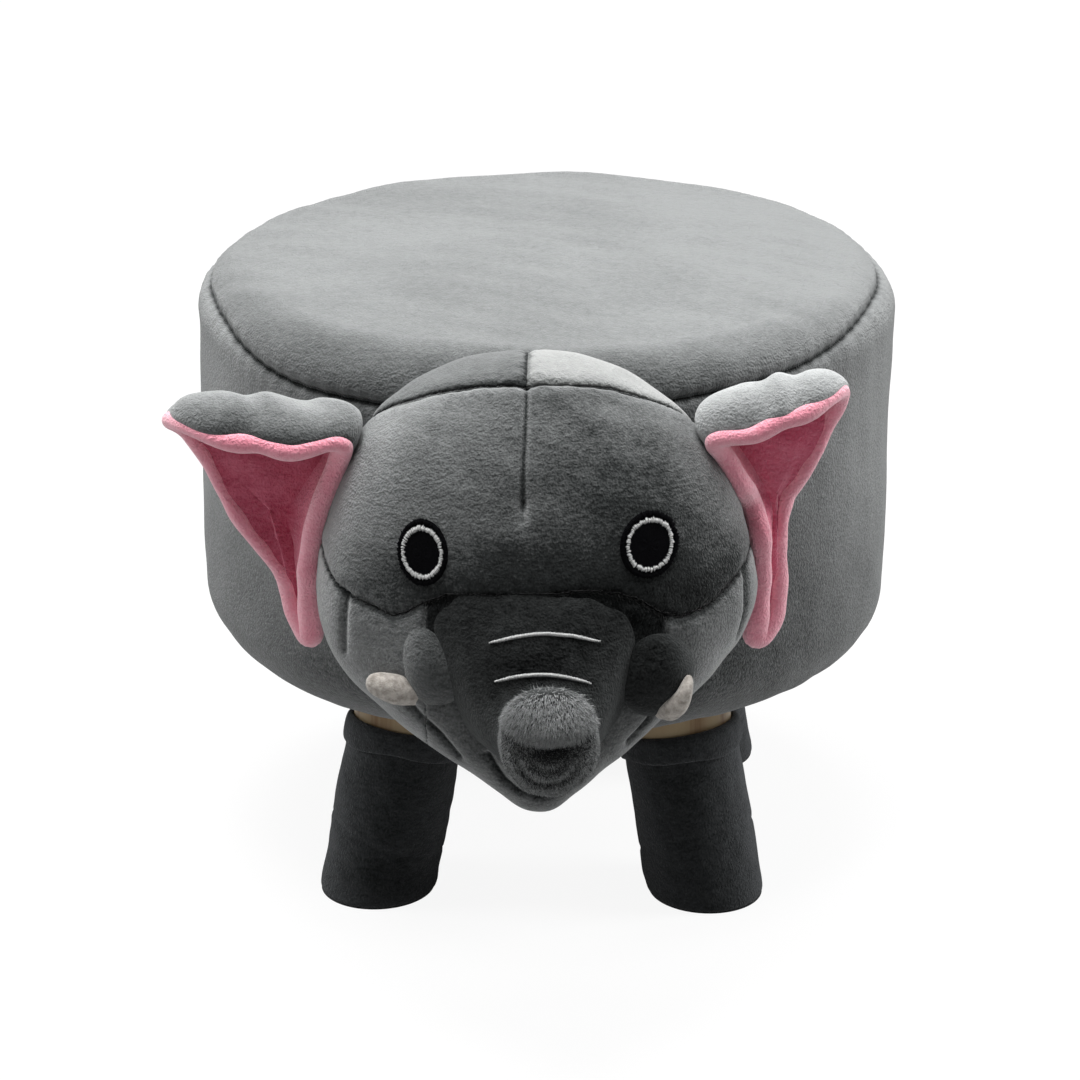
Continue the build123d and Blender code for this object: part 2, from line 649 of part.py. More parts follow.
def tail_parts():
    """A stuffed tail that hangs against the back of the drum, with a fuller tuft at its end."""
    root = Vector(0, SEAT_RADIUS + FIT + TAIL_RADIUS, SEAT_HEIGHT - TAIL_ROOT_DROP)
    end = Vector(0, SEAT_RADIUS + FIT + TUFT_RADIUS, SEAT_HEIGHT - TAIL_ROOT_DROP - TAIL_LENGTH)
    along = (end - root).normalized()
    length = (end - root).length
    frame = Plane(origin=root, x_dir=(1, 0, 0), z_dir=along)
    tube = frame * Cylinder(TAIL_RADIUS, length, align=(Align.CENTER, Align.CENTER, Align.MIN))
    tube += frame * Sphere(TAIL_RADIUS)
    rings = []
    for place, size in TUFT_SECTION_SHARES:
        radius = TUFT_RADIUS * size
        rings.append(frame * Pos(0, 0, length + place * TUFT_LENGTH) * oval(radius, radius))
    return tube, loft(rings)


def build():
    """Every piece of the stool, by name."""
    parts = {}
    parts["cover_top_panel"], parts["cover_side_panel"] = cover_panels()
    parts["seat_cushion"], parts["side_padding"] = padding()

    screws = frame_screws()
    pegs = staples()
    parts["frame_screws"] = screws
    parts["frame_posts"] = frame_posts(screws)
    base = disc(BOARD_RADIUS, BOARD_BOTTOM, BOARD_TOP) - screws
    parts["top_board"] = disc(BOARD_RADIUS, TOP_BOARD_BOTTOM, TOP_BOARD_TOP) - screws
    wall = disc(BOARD_RADIUS + WALL_THICKNESS, BOARD_BOTTOM + WALL_LIFT, TOP_BOARD_TOP)
    parts["side_wall"] = wall - disc(BOARD_RADIUS, 0, SEAT_HEIGHT)
    dust = disc(DUST_COVER_RADIUS, DUST_COVER_BOTTOM, UNDERSIDE_HEIGHT)

    all_plate_screws = []
    for name, azimuth in LEG_NAMES.items():
        frame = leg_frame(azimuth)
        bolt = leg_bolt(frame)
        own_screws = plate_screws(azimuth)
        all_plate_screws += own_screws
        parts["leg_bolt_" + name] = bolt
        parts["leg_" + name] = leg(frame, bolt)
        parts["leg_plate_" + name] = leg_plate(frame, azimuth, own_screws)
        parts["sock_" + name] = sock(frame)
        reach = 2 * LEG_LENGTH
        base -= frame * Cylinder(BOLT_HOLE_RADIUS, reach, align=(Align.CENTER, Align.CENTER, Align.MIN))
        dust -= frame * Cylinder(BOSS_RADIUS + FIT, reach, align=(Align.CENTER, Align.CENTER, Align.MIN))
    parts["plate_screws"] = all_plate_screws
    parts["base_board"] = base - all_plate_screws - pegs
    parts["dust_cover"] = dust - pegs
    parts["cover_side_panel"] -= pegs
    parts["underside_staples"] = pegs

    outside = head_form(0)
    stuffing = head_form(COVER_THICKNESS)
    parts["head_stuffing"] = stuffing
    parts.update(head_panels(outside, stuffing))
    trunk = trunk_form(0)
    parts["trunk"] = trunk - outside
    parts["trunk_wrinkles"] = [row - outside for row in trunk_wrinkles(trunk)]
    for side, name in ((-1, "left"), (1, "right")):
        patch, ring = eye(side, outside)
        parts["eye_patch_" + name] = patch
        parts["eye_ring_" + name] = ring
        lip = lip_fold(side, outside, trunk)
        parts["lip_fold_" + name] = lip
        parts["tusk_" + name] = tusk(side, outside, lip) - trunk
    room = head_form(-EAR_HEAD_GAP)
    parts["ear_left"], parts["ear_lining_left"] = ear(-1, EAR_LEFT_SPAN, EAR_LEFT_LIFT, room)
    parts["ear_right"], parts["ear_lining_right"] = ear(1, EAR_RIGHT_SPAN, EAR_RIGHT_LIFT, room)
    parts["tail"], parts["tail_tuft"] = tail_parts()
    return parts


os.makedirs("parts", exist_ok=True)
for node, shape in build().items():
    if isinstance(shape, list):
        shape = Compound(children=shape)
    export_step(shape, "parts/" + node + ".step")
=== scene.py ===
# %% [markdown]
# # An elephant footstool
# This lesson dresses a round padded footstool: a plush drum on four wooden legs, with a stuffed elephant's head.
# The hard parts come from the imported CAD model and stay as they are. The soft parts are new surfaces, worked out
# with numpy in millimetres and placed where the CAD model has them.

import contextlib
import math

import bmesh
import bpy
import numpy as np
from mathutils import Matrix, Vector


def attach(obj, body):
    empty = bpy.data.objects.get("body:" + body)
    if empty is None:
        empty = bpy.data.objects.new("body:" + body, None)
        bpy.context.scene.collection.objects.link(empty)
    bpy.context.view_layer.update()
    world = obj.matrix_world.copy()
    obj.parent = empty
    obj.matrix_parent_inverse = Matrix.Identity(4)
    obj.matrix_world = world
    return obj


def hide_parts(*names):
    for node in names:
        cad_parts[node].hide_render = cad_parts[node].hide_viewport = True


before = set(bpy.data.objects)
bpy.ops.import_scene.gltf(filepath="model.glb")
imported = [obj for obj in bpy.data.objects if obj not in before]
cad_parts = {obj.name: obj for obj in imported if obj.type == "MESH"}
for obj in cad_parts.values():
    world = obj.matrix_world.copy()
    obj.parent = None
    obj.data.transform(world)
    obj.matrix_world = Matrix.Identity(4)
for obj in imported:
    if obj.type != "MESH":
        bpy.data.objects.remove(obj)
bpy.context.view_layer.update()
MM = 0.001
print("CAD nodes:", len(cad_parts))

# %% [markdown]
# ## Small tools
# Every surface here is a grid of points, so a few helpers are enough: one rounds a table of sections into many
# rows, one joins grid points with quads, and one turns the result into a piece that rides on a CAD body. Seams and
# folds are bell curves of the distance to a line.

# %% Surfaces from grids
def smooth_rows(table, count):
    """Many rows through a few: a Catmull-Rom curve, whose slope at a row is half the step between its neighbours."""
    table = np.array(table, float)
    last = len(table) - 1
    place = np.linspace(0, last, count).clip(0, last - 1e-9)
    low = place.astype(int)
    part = (place - low)[:, None]
    before, start = table[np.maximum(low - 1, 0)], table[low]
    end, after = table[low + 1], table[np.minimum(low + 2, last)]
    start_slope, end_slope = (end - before) / 2, (after - start) / 2
    return (
        (2 * part**3 - 3 * part**2 + 1) * start
        + (part**3 - 2 * part**2 + part) * start_slope
        + (3 * part**2 - 2 * part**3) * end
        + (part**3 - part**2) * end_slope
    )


def smooth_step(value, low, high):
    """0 below low, 1 above high and an S-curve between them."""
    part = np.clip((value - low) / (high - low), 0, 1)
    return part * part * (3 - 2 * part)


def hump(away, width):
    """1 on a line and falling to 0 beside it, as a bell curve."""
    return np.exp(-((away / width) ** 2))


def turns(count):
    """Angles all round, in radians."""
    return np.linspace(0, 2 * np.pi, count, endpoint=False)


def xyz(x, y, z):
    """Points from three coordinates, each a number, a row, a column or a grid."""
    return np.stack(np.broadcast_arrays(x, y, z), -1)


def unit(vectors):
    """The same directions at length 1."""
    return vectors / np.maximum(np.linalg.norm(vectors, axis=-1, keepdims=True), 1e-9)


def wander(points, wavelength, seed):
    """A soft unevenness of about -1 to 1: the sum of nine sine waves in nine directions, near one wavelength."""
    random = np.random.default_rng(seed)
    directions = unit(random.normal(size=(9, 3)))
    waves = 2 * np.pi / (wavelength * random.uniform(0.7, 1.5, 9))
    phases = random.uniform(0, 2 * np.pi, 9)
    return np.sin(points @ (directions * waves[:, None]).T + phases).sum(-1) / 3


def stuffing(points, seed, *waves):
    """Uneven stuffing: a sum of wanders, each with its height and its wavelength in mm and a seed of its own."""
    return sum(height * wander(points, length, seed + index) for index, (height, length) in enumerate(waves))


def round_power(angle, power):
    """Cosine and sine of a rounded square: a direction is divided by the power mean of its two sides."""
    cosine, sine = np.cos(angle), np.sin(angle)
    reach = (np.abs(cosine) ** power + np.abs(sine) ** power) ** (-1 / power)
    return cosine * reach, sine * reach


def grid_faces(rows, columns):
    """Quads between neighbouring rows and columns of a grid; the last column is joined to the first."""
    row, column = np.meshgrid(np.arange(rows - 1), np.arange(columns), indexing="ij")
    first, beside = row * columns + column, row * columns + (column + 1) % columns
    return np.stack([first, beside, beside + columns, first + columns], -1).reshape(-1, 4)


def row_normals(grid):
    """Unit normals of a grid that closes round: the cross product of its two directions of travel."""
    across = (np.roll(grid, -1, axis=1) - np.roll(grid, 1, axis=1)) / 2
    return unit(np.cross(np.gradient(grid, axis=0), across))


def outward_normals(grid):
    """The same normals, turned away from the grid's middle."""
    normal = row_normals(grid)
    return normal * np.sign((normal * (grid - grid.mean((0, 1)))).sum())


# %% Meshes and pieces
def new_mesh(name, points, faces):
    """A Blender mesh in metres from points in mm."""
    mesh = bpy.data.meshes.new(name)
    mesh.from_pydata((points.reshape(-1, 3) * MM).tolist(), [], faces.tolist())
    return mesh


@contextlib.contextmanager
def editing(mesh):
    """Opens a mesh as a bmesh and writes the edits back."""
    shape = bmesh.new()
    shape.from_mesh(mesh)
    yield shape
    shape.to_mesh(mesh)
    shape.free()


def read_rows(items, name, width=3):
    """One property of all points or faces of a mesh, as a row of numbers for each."""
    values = np.empty(len(items) * width)
    items.foreach_get(name, values)
    return values.reshape(-1, width)


def make_mesh(name, grid, core=None, seam=None):
    """A grid's mesh, its poles merged and its faces away from core; seam is 1 at a seam and falls to 0 beside it."""
    mesh = new_mesh(name, grid, grid_faces(*grid.shape[:2]))
    if seam is not None:
        mesh.attributes.new("seam", "FLOAT", "POINT").data.foreach_set("value", seam.ravel().astype(np.float32))
    with editing(mesh) as shape:
        bmesh.ops.remove_doubles(shape, verts=shape.verts, dist=1e-6)
        bmesh.ops.dissolve_degenerate(shape, edges=shape.edges, dist=1e-7)
    centres, normals = read_rows(mesh.polygons, "center"), read_rows(mesh.polygons, "normal")
    areas = read_rows(mesh.polygons, "area", 1)[:, 0]
    middle = centres.mean(0) if core is None else np.array(core) * MM
    if ((centres - middle) * normals).sum(1) @ areas < 0:
        mesh.flip_normals()
    mesh.shade_smooth()
    return mesh


def new_object(name, data):
    """An object with its data, in the scene."""
    item = bpy.data.objects.new(name, data)
    bpy.context.scene.collection.objects.link(item)
    return item


def paint(mesh, material):
    """Gives a mesh one material."""
    mesh.materials.clear()
    mesh.materials.append(material)


def add_piece(mesh, material, body, stands_for=(), wall=0):
    """Puts a finished mesh in the scene as a piece that rides on a CAD body; wall is its cloth's thickness in mm."""
    paint(mesh, material)
    piece = new_object(mesh.name, mesh)
    if wall:
        thick = piece.modifiers.new("cloth wall", "SOLIDIFY")
        thick.thickness, thick.offset = wall * MM, -1
    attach(piece, body)
    if stands_for:
        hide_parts(*stands_for)
    print(mesh.name, "faces:", len(mesh.polygons))
    return piece


# %% [markdown]
# ## Camera and lamps
# The stool was photographed from a little above, in front, in a white studio with most light from overhead.
# One broad lamp overhead, two at the sides and a weak one in front repeat that.

# %% Camera
AIM = np.array([-2.4, 0.0, 126.3])
DISTANCE, ELEVATION, YAW = 1400.0, 21.1, 1.5
PHOTO_SIDE, FOCAL_PIXELS, SENSOR = 1080, 3365, 36
tilt, yaw = math.radians(ELEVATION), math.radians(YAW)
back = np.array([math.sin(yaw) * math.cos(tilt), -math.cos(yaw) * math.cos(tilt), math.sin(tilt)])
camera = new_object("camera", bpy.data.cameras.new("camera"))
camera.data.lens, camera.data.sensor_width = FOCAL_PIXELS / PHOTO_SIDE * SENSOR, SENSOR
camera.location = (AIM + back * DISTANCE) * MM
camera.rotation_euler = (math.pi / 2 - tilt, 0, yaw)
bpy.context.scene.camera = camera
bpy.context.scene.view_settings.view_transform = "Standard"
print("camera at", [round(v, 3) for v in camera.location])


# %% Lamps
def add_lamp(name, place, aim, size, watts):
    """A square softbox at a place in metres, turned towards another."""
    lamp = new_object(name, bpy.data.lights.new(name, "AREA"))
    lamp.data.energy, lamp.data.size = watts, size
    lamp.location = place
    direction = Vector(aim) - Vector(place)
    lamp.rotation_euler = direction.to_track_quat("-Z", "Y").to_euler()


add_lamp("overhead softbox", (-0.1, -0.1, 1.4), (0, 0, 0.2), 0.8, 25)
add_lamp("left softbox", (-1.4, 0.1, 1.0), (0, 0, 0.15), 0.6, 11)
add_lamp("right softbox", (1.4, 0.2, 1.0), (0, 0, 0.15), 0.6, 19)
add_lamp("front softbox", (-0.5, -1.7, 0.5), (0, -0.1, 0.15), 0.8, 1.8)


# %% [markdown]
# ## Materials
# Colours are written as sRGB hex, the way a colour picker gives them, and turned to linear light by one function.
# All patterns read Object coordinates in metres, so a scale of 1 / 0.006 makes spots about 6 mm across.

# %% Colour and node helpers
def linear(code):
    """An sRGB hex colour as linear light: a straight part near black and a power of 2.4 above it."""
    parts = [int(code[i : i + 2], 16) / 255 for i in (1, 3, 5)]
    return tuple(v / 12.92 if v <= 0.04045 else ((v + 0.055) / 1.055) ** 2.4 for v in parts) + (1,)


def add_node(tree, kind, inputs=None, ramp=None, out=0, **settings):
    """Adds a shader node and gives one of its outputs; each input is a plain value or another node's output."""
    node = tree.nodes.new("ShaderNode" + kind)
    for key, value in settings.items():
        setattr(node, key, value)
    for key, value in (inputs or {}).items():
        if isinstance(value, bpy.types.NodeSocket):
            tree.links.new(value, node.inputs[key])
        else:
            node.inputs[key].default_value = value
    if ramp:
        stops = node.color_ramp.elements
        stops[0].position, stops[1].position = ramp[0][0], ramp[-1][0]
        stops[0].color, stops[1].color = linear(ramp[0][1]), linear(ramp[-1][1])
        for position, code in ramp[1:-1]:
            stops.new(position).color = linear(code)
    return node.outputs[out]


def map_range(tree, value, low, high, first, last, **settings):
    """A value's range from low to high turned into first to last."""
    inputs = {"Value": value, "From Min": low, "From Max": high, "To Min": first, "To Max": last}
    return add_node(tree, "MapRange", inputs, **settings)


def new_material(name, **constants):
    """A material with one Principled shader whose plain numbers are set on its own sockets."""
    material = bpy.data.materials.new(name)
    material.use_nodes = True
    tree = material.node_tree
    shader = tree.nodes["Principled BSDF"]
    for key, value in constants.items():
        shader.inputs[key.replace("_", " ")].default_value = value
    return material, tree, shader, add_node(tree, "TexCoord", out="Object")


def add_noise(tree, place, size, detail=2, stretch=(1, 1, 1), turn=(0, 0, 0)):
    """Noise with spots about size metres across, stretched and turned."""
    moved = add_node(tree, "Mapping", {"Vector": place, "Scale": stretch, "Rotation": turn})
    return add_node(tree, "TexNoise", {"Vector": moved, "Scale": 1 / size, "Detail": detail})


def weigh(tree, first, second, share):
    """First plus a share of the second."""
    return add_node(tree, "Math", {0: second, 1: share, 2: first}, operation="MULTIPLY_ADD")


def finish_colour(tree, shader, value, ramp, height, strength, distance):
    """Colours the shader by a ramp and raises its surface by a height."""
    colour = add_node(tree, "ValToRGB", {"Fac": value}, ramp=ramp)
    tree.links.new(colour, shader.inputs["Base Color"])
    bump = add_node(tree, "Bump", {"Height": height, "Strength": strength, "Distance": distance})
    tree.links.new(bump, shader.inputs["Normal"])


# %% [markdown]
# ### Plush
# The cover is minky plush: knitted polyester with a dense brushed pile about 2 mm long. It scatters light at grazing
# angles, which is sheen, and it looks darker where its pile is seen end-on. Where a hand has stroked it the pile
# leans another way and the grey shifts. So the colour grows lighter towards grazing angles, as painted sheen on top
# of the shader's own sheen, and it follows broad streaks, clumps about 3 mm across and single tufts; only the last two
# raise the surface. Some panels get a gradient towards one side: painted shade and light on the drum's wall and the
# forehead, painted shade on the jaw and the ears' hoods and painted light at the trunk's tip; the seat's top is just
# lighter to the right. Every panel is darker in its seams, which is painted shade in their creases; its mesh marks
# the seams with an attribute.

# %% Plush colours
CLUMP, TUFT, PILE_TURN = 0.0032, 0.0010, (0.4, 0.2, 0.3)
CLUMP_SHARE, TUFT_SHARE, SEAM_SHADE, PILE_HEIGHT = 0.45, 0.5, -0.9, 0.0012


def add_gradient(tree, place, value, start, end, first, last):
    """Adds first before a start point and last after an end point, an S-curve between them, in mm."""
    start, end = np.array(start) * MM, np.array(end) * MM
    ahead = (end - start) / ((end - start) @ (end - start))
    along = add_node(tree, "VectorMath", {0: place, 1: ahead}, out="Value", operation="DOT_PRODUCT")
    begin = float(start @ ahead)
    change = map_range(tree, along, begin, begin + 1, first, last, interpolation_type="SMOOTHSTEP")
    return weigh(tree, value, change, 1.0)


def make_plush(name, dark, light, sheen, share=0.6, streak=0.045, gradients=(), shade_colour=None):
    """Minky plush between two greys, the lighter at grazing angles as painted sheen; shade_colour is its darkest shade.
    """
    material, tree, shader, place = new_material(
        name, Roughness=0.95, Sheen_Weight=sheen, Sheen_Roughness=0.4, Specular_IOR_Level=0.0
    )
    streaks = add_noise(tree, place, streak, 3, (1, 1, 2.4), PILE_TURN)
    clumps = add_noise(tree, place, CLUMP, 2, (1, 1, 2.2), PILE_TURN)
    tufts = add_noise(tree, place, TUFT, 2, (1.3, 1.3, 1), PILE_TURN)
    value = weigh(tree, 0.5 - share / 2, streaks, share)
    value = weigh(tree, weigh(tree, value, clumps, CLUMP_SHARE), tufts, TUFT_SHARE)
    # Painted sheen: the colour grows lighter where the surface is seen at a grazing angle.
    value = weigh(tree, value, add_node(tree, "LayerWeight", {"Blend": 0.5}, out="Facing"), 1.0)
    # Gradients towards one side: painted shade and painted light on most panels.
    for one_gradient in gradients:
        value = add_gradient(tree, place, value, *one_gradient)
    # Painted shade in the seams: darker where the mesh's seam attribute marks a crease.
    value = weigh(tree, value, add_node(tree, "Attribute", out="Fac", attribute_name="seam"), SEAM_SHADE)
    halved = add_node(tree, "Math", {0: value, 1: 0.5}, operation="MULTIPLY")
    ramp = ([(0.2, shade_colour)] if shade_colour else []) + [(0.42, dark), (0.92, light)]
    finish_colour(tree, shader, halved, ramp, weigh(tree, tufts, clumps, 0.7), 0.85, PILE_HEIGHT)
    return material


light_grey = make_plush(
    "minky plush light grey", "#474949", "#898b8b", 0.20, 0.6, 0.06, [((0, 0, 0), (130, 0, 0), 0, 0.2)]
)
# Painted shade and light: the drum's wall darker towards the hem and lighter towards the shoulder, near black in seams.
side_grey = make_plush(
    "minky plush mid grey", "#343636", "#8f9191", 0.20, 0.3, shade_colour="#161717",
    gradients=[((0, 0, 105), (0, 0, 215), -0.22, 0.14)],
)
crown_grey = make_plush("minky plush pale crown", "#7c7e7d", "#afb0af", 0.22, 0.7)
brushed_grey = make_plush("minky plush brushed grey", "#343636", "#7f8181", 0.16)
# Painted shade and light: the forehead lighter on the left, darker on the right and towards the trunk's root.
forehead_grey = make_plush(
    "minky plush forehead", "#313333", "#979999", 0.18, 0.5, shade_colour="#0a0b0b",
    gradients=[((-66, 0, 0), (60, 0, 0), 0.2, -0.14), ((0, 0, 214), (0, 0, 186), 0, -0.36)],
)
cheek_grey = make_plush("minky plush cheeks", "#3b3d3d", "#9c9e9e", 0.22, 0.55)
# Painted shade: the jaw darker upwards, where it lies under the trunk, and near black in its seams.
jaw_grey = make_plush(
    "minky plush jaw", "#2a2c2c", "#8d8f8f", 0.18, 0.5, shade_colour="#070808", gradients=[((0, 0, 152), (0, 0, 178), 0, -0.55)]
)
# Painted light: the trunk lighter at the front of its tip. Its very dark grey is partly the cloth's own, partly painted
# shade.
trunk_grey = make_plush(
    "minky plush dark grey", "#0e0f0f", "#484a4a", 0.06, 0.4, gradients=[((0, -250, 0), (0, -258, 0), 0, 0.45)]
)
# Painted light from above makes the tip's tufts much lighter than the trunk's plush.
tip_grey = make_plush("minky plush tip pile", "#7d7f7f", "#b6b8b8", 0.20)
# Painted shade: each hood darker towards its lower edge, which faces down.
ear_grey = make_plush(
    "minky plush ear grey", "#707272", "#babcbc", 0.25, gradients=[((0, 0, 238), (0, 0, 229), 0, -0.35)]
)
# Painted shade: the left ear's grey is a darker copy of the right's, darker still towards its hood's lower edge.
left_ear_shaded_grey = make_plush(
    "minky plush ear grey in painted shade", "#464848", "#9c9e9e", 0.22, gradients=[((0, 0, 239), (0, 0, 228), 0, -0.55)]
)
charcoal = make_plush("minky plush charcoal", "#242626", "#56585a", 0.14)
# Painted shade: both linings are one pink, darkened for the hood's shade, and the left one is the darker copy.
pink = make_plush("minky plush pink", "#ac4259", "#e98ea2", 0.20)
pale_pink = make_plush("minky plush paler pink", "#c85a73", "#f5a3b5", 0.25)
# Painted light: the rim's pink is the lining's made lighter, where the bead catches the light from above.
lit_rim_pink = make_plush("minky plush pink rim in painted light", "#ea91a3", "#fbc3ce", 0.32)


# %% [markdown]
# ### Felt, thread, wood and metal
# The tusks are cut from wool felt, matted so closely that it only shows soft mottling. The eyes and the wrinkles are
# rayon embroidery, glossier than anything round them. The legs are clear-lacquered pine with narrow growth rings.

# %% Felt and thread
def make_thread(name, dark, light, roughness, gloss):
    """Rayon embroidery thread: soft gloss, with its plies showing as fine slanted lines."""
    material, tree, shader, place = new_material(name, Roughness=roughness, Specular_IOR_Level=gloss)
    plies = add_noise(tree, place, 0.0006, 1, (1, 1, 3), (0, 0.5, 0))
    finish_colour(tree, shader, plies, [(0.3, dark), (0.7, light)], plies, 0.4, 0.0003)
    return material


black_thread = make_thread("rayon thread black", "#030304", "#0b0b0d", 0.8, 0.02)
pale_thread = make_thread("rayon thread silver grey", "#9a9b9b", "#d9d9d8", 0.45, 0.1)
felt, tree, shader, place = new_material(
    "wool felt off-white", Roughness=0.96, Sheen_Weight=0.3, Specular_IOR_Level=0.1
)
matting = add_noise(tree, place, 0.0022, 4)
fuzz = add_noise(tree, place, 0.0006, 2)
finish_colour(
    tree, shader, weigh(tree, matting, fuzz, 0.3), [(0.45, "#8a847d"), (0.85, "#bdb7b0")], fuzz, 0.6, 0.0006
)
print("threads and felt ready")


# %% Pine, boards and metal
LEG_LEAN, RING_LIMIT = math.radians(14), 1.5


def make_pine(name, azimuth):
    """Lacquered pine: growth rings about 4 mm apart, drawn out along a leaning leg, with a few knots."""
    material, tree, shader, place = new_material(name, Roughness=0.48, Specular_IOR_Level=0.4)
    lean = (LEG_LEAN, 0, -math.radians(azimuth + 90))
    along = add_node(tree, "Mapping", {"Vector": place, "Rotation": lean})
    stretched = add_node(tree, "Mapping", {"Vector": along, "Scale": (1, 1, 0.07)})
    wave = {"Vector": stretched, "Scale": 24, "Distortion": 7, "Detail": 2, "Detail Scale": 1.5}
    rings = add_node(tree, "TexWave", wave, out="Fac", bands_direction="X")
    pores = add_noise(tree, along, 0.0012, 2, (1, 1, 0.05))
    spots = add_node(tree, "TexVoronoi", {"Vector": along, "Scale": 1 / 0.028}, out="Distance")
    knots = map_range(tree, spots, 0.05, 0.14, 0.35, 0)
    value = weigh(tree, weigh(tree, rings, pores, 0.5), knots, 1.6)
    scaled = add_node(tree, "Math", {0: value, 1: RING_LIMIT}, operation="DIVIDE")
    ramp = [(0.1, "#9e8a68"), (0.9, "#947e5d"), (1.4, "#715434")]
    ramp = [(position / RING_LIMIT, code) for position, code in ramp]
    finish_colour(tree, shader, scaled, ramp, pores, 0.25, 0.0002)
    return material


def make_speckled(name, dark, light, size, roughness, metallic=0.0, stretch=(1, 1, 1)):
    """A plain technical finish with grain of one size, such as board, cloth or plated steel."""
    material, tree, shader, place = new_material(name, Roughness=roughness, Metallic=metallic)
    grain = add_noise(tree, place, size, 4, stretch)
    finish_colour(tree, shader, grain, [(0.35, dark), (0.65, light)], grain, 0.3, size / 4)
    return material


particle_board = make_speckled("raw particle board", "#a98a5e", "#cdb083", 0.003, 0.8)
hardboard = make_speckled("hardboard", "#5f4329", "#7a5a3a", 0.0015, 0.7)
zinc = make_speckled("zinc-plated steel", "#9c9fa3", "#c6c8ca", 0.0012, 0.35, 1.0)
black_plate = make_speckled("black lacquered steel", "#121214", "#1e1f22", 0.0008, 0.4)
nonwoven = make_speckled("spunbonded polypropylene", "#151517", "#26272a", 0.0012, 0.85, 0.0, (1, 1, 0.4))
NODE_FINISHES = {
    "base_board": particle_board,
    "top_board": particle_board,
    "frame_posts": make_pine("sawn pine posts", 0),
    "side_wall": hardboard,
    "frame_screws": zinc,
    "plate_screws": zinc,
    "underside_staples": zinc,
}
LEG_TURNS = {"front_left": 225, "front_right": 315, "rear_right": 45, "rear_left": 135}
for corner, azimuth in LEG_TURNS.items():
    NODE_FINISHES["leg_" + corner] = make_pine("lacquered pine " + corner, azimuth)
    NODE_FINISHES["leg_bolt_" + corner] = zinc
    NODE_FINISHES["leg_plate_" + corner] = black_plate
for node, finish in NODE_FINISHES.items():
    paint(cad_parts[node].data, finish)
print("CAD nodes with a finish:", len(NODE_FINISHES))

# %% [markdown]
# ## Seat cover
# The drum is foam round a wooden frame, pulled into a cover of two panels. Its outline is a profile turned round the
# axis, so a point is known by its angle and by how far along the profile it lies. The two panels meet at a seam that
# dips towards the front. A seam pulls the plush in, and its thread gathers both edges into small puckers.

# %% The drum's profile
SEAT_RADIUS, SHOULDER, UNDERSIDE = 140.0, 250.0, 91.0
SHOULDER_ROUND, LOWER_ROUND, CROWN_RISE, HEM_RADIUS = 20.0, 26.0, 4.0, 98.0
SEAM_DEPTH, SEAM_WIDTH, SEAM_SWELL, PUCKER, PUCKER_DEPTH = 1.9, 2.2, 0.5, 1.3, 0.32
SIDE_SEAM_DEPTH, SIDE_SEAM_WIDTH, HEM_WIDTH, HEM_FOLDS = 1.2, 1.8, 40, 46
COVER_WALL, HEAD_WALL = 1.8, 1.6


def drum_profile():
    """The profile from the top's centre to the hem: low crown, shoulder arc, wall, lower arc and underside."""
    inner = SEAT_RADIUS - SHOULDER_ROUND
    crown = np.linspace(0, inner, 80)
    bend = np.linspace(np.pi / 2, 0, 60)
    low_bend = np.linspace(0, -np.pi / 2, 60)
    low_inner = SEAT_RADIUS - LOWER_ROUND
    radius = [
        crown,
        inner + SHOULDER_ROUND * np.cos(bend[1:]),
        np.full(60, SEAT_RADIUS),
        low_inner + LOWER_ROUND * np.cos(low_bend[1:]),
        np.linspace(low_inner, HEM_RADIUS, 12)[1:],
    ]
    height = [
        SHOULDER + CROWN_RISE * (1 - (crown / inner) ** 2),
        SHOULDER - SHOULDER_ROUND + SHOULDER_ROUND * np.sin(bend[1:]),
        np.linspace(SHOULDER - SHOULDER_ROUND, UNDERSIDE + LOWER_ROUND, 61)[1:],
        UNDERSIDE + LOWER_ROUND + LOWER_ROUND * np.sin(low_bend[1:]),
        np.full(11, UNDERSIDE),
    ]
    radius, height = np.concatenate(radius), np.concatenate(height)
    length = np.concatenate([[0], np.cumsum(np.hypot(np.diff(radius), np.diff(height)))])
    return length, radius, height


PROFILE_LENGTH, PROFILE_RADIUS, PROFILE_HEIGHT = drum_profile()
SEAM_FALLING = slice(85, 160)  # the profile's rows in which a seam can lie, where its height only falls
# Azimuth in degrees and height of the seam round the shoulder
SEAM_TABLE = np.array(
    [
        (90, 243), (180, 242), (188, 241.5), (202, 241), (213, 236), (221, 231.6), (228, 229), (240, 228),
        (270, 229.5), (303, 233.7), (311, 234.8), (317, 236), (326, 239), (339, 243.4), (356, 244.3), (450, 243),
    ]
)


def seam_place(angle):
    """How far along the profile the seam lies at each angle, its corners rounded over 12 degrees."""
    degrees = (np.degrees(angle) - 90) % 360 + 90
    height = sum(
        np.interp((degrees + step - 90) % 360 + 90, SEAM_TABLE[:, 0], SEAM_TABLE[:, 1]) for step in (-6, -3, 0, 3, 6)
    ) / 5
    return np.interp(-height, -PROFILE_HEIGHT[SEAM_FALLING], PROFILE_LENGTH[SEAM_FALLING])


def profile_at(place):
    """Radius and height at a place along the profile."""
    return np.interp(place, PROFILE_LENGTH, PROFILE_RADIUS), np.interp(place, PROFILE_LENGTH, PROFILE_HEIGHT)


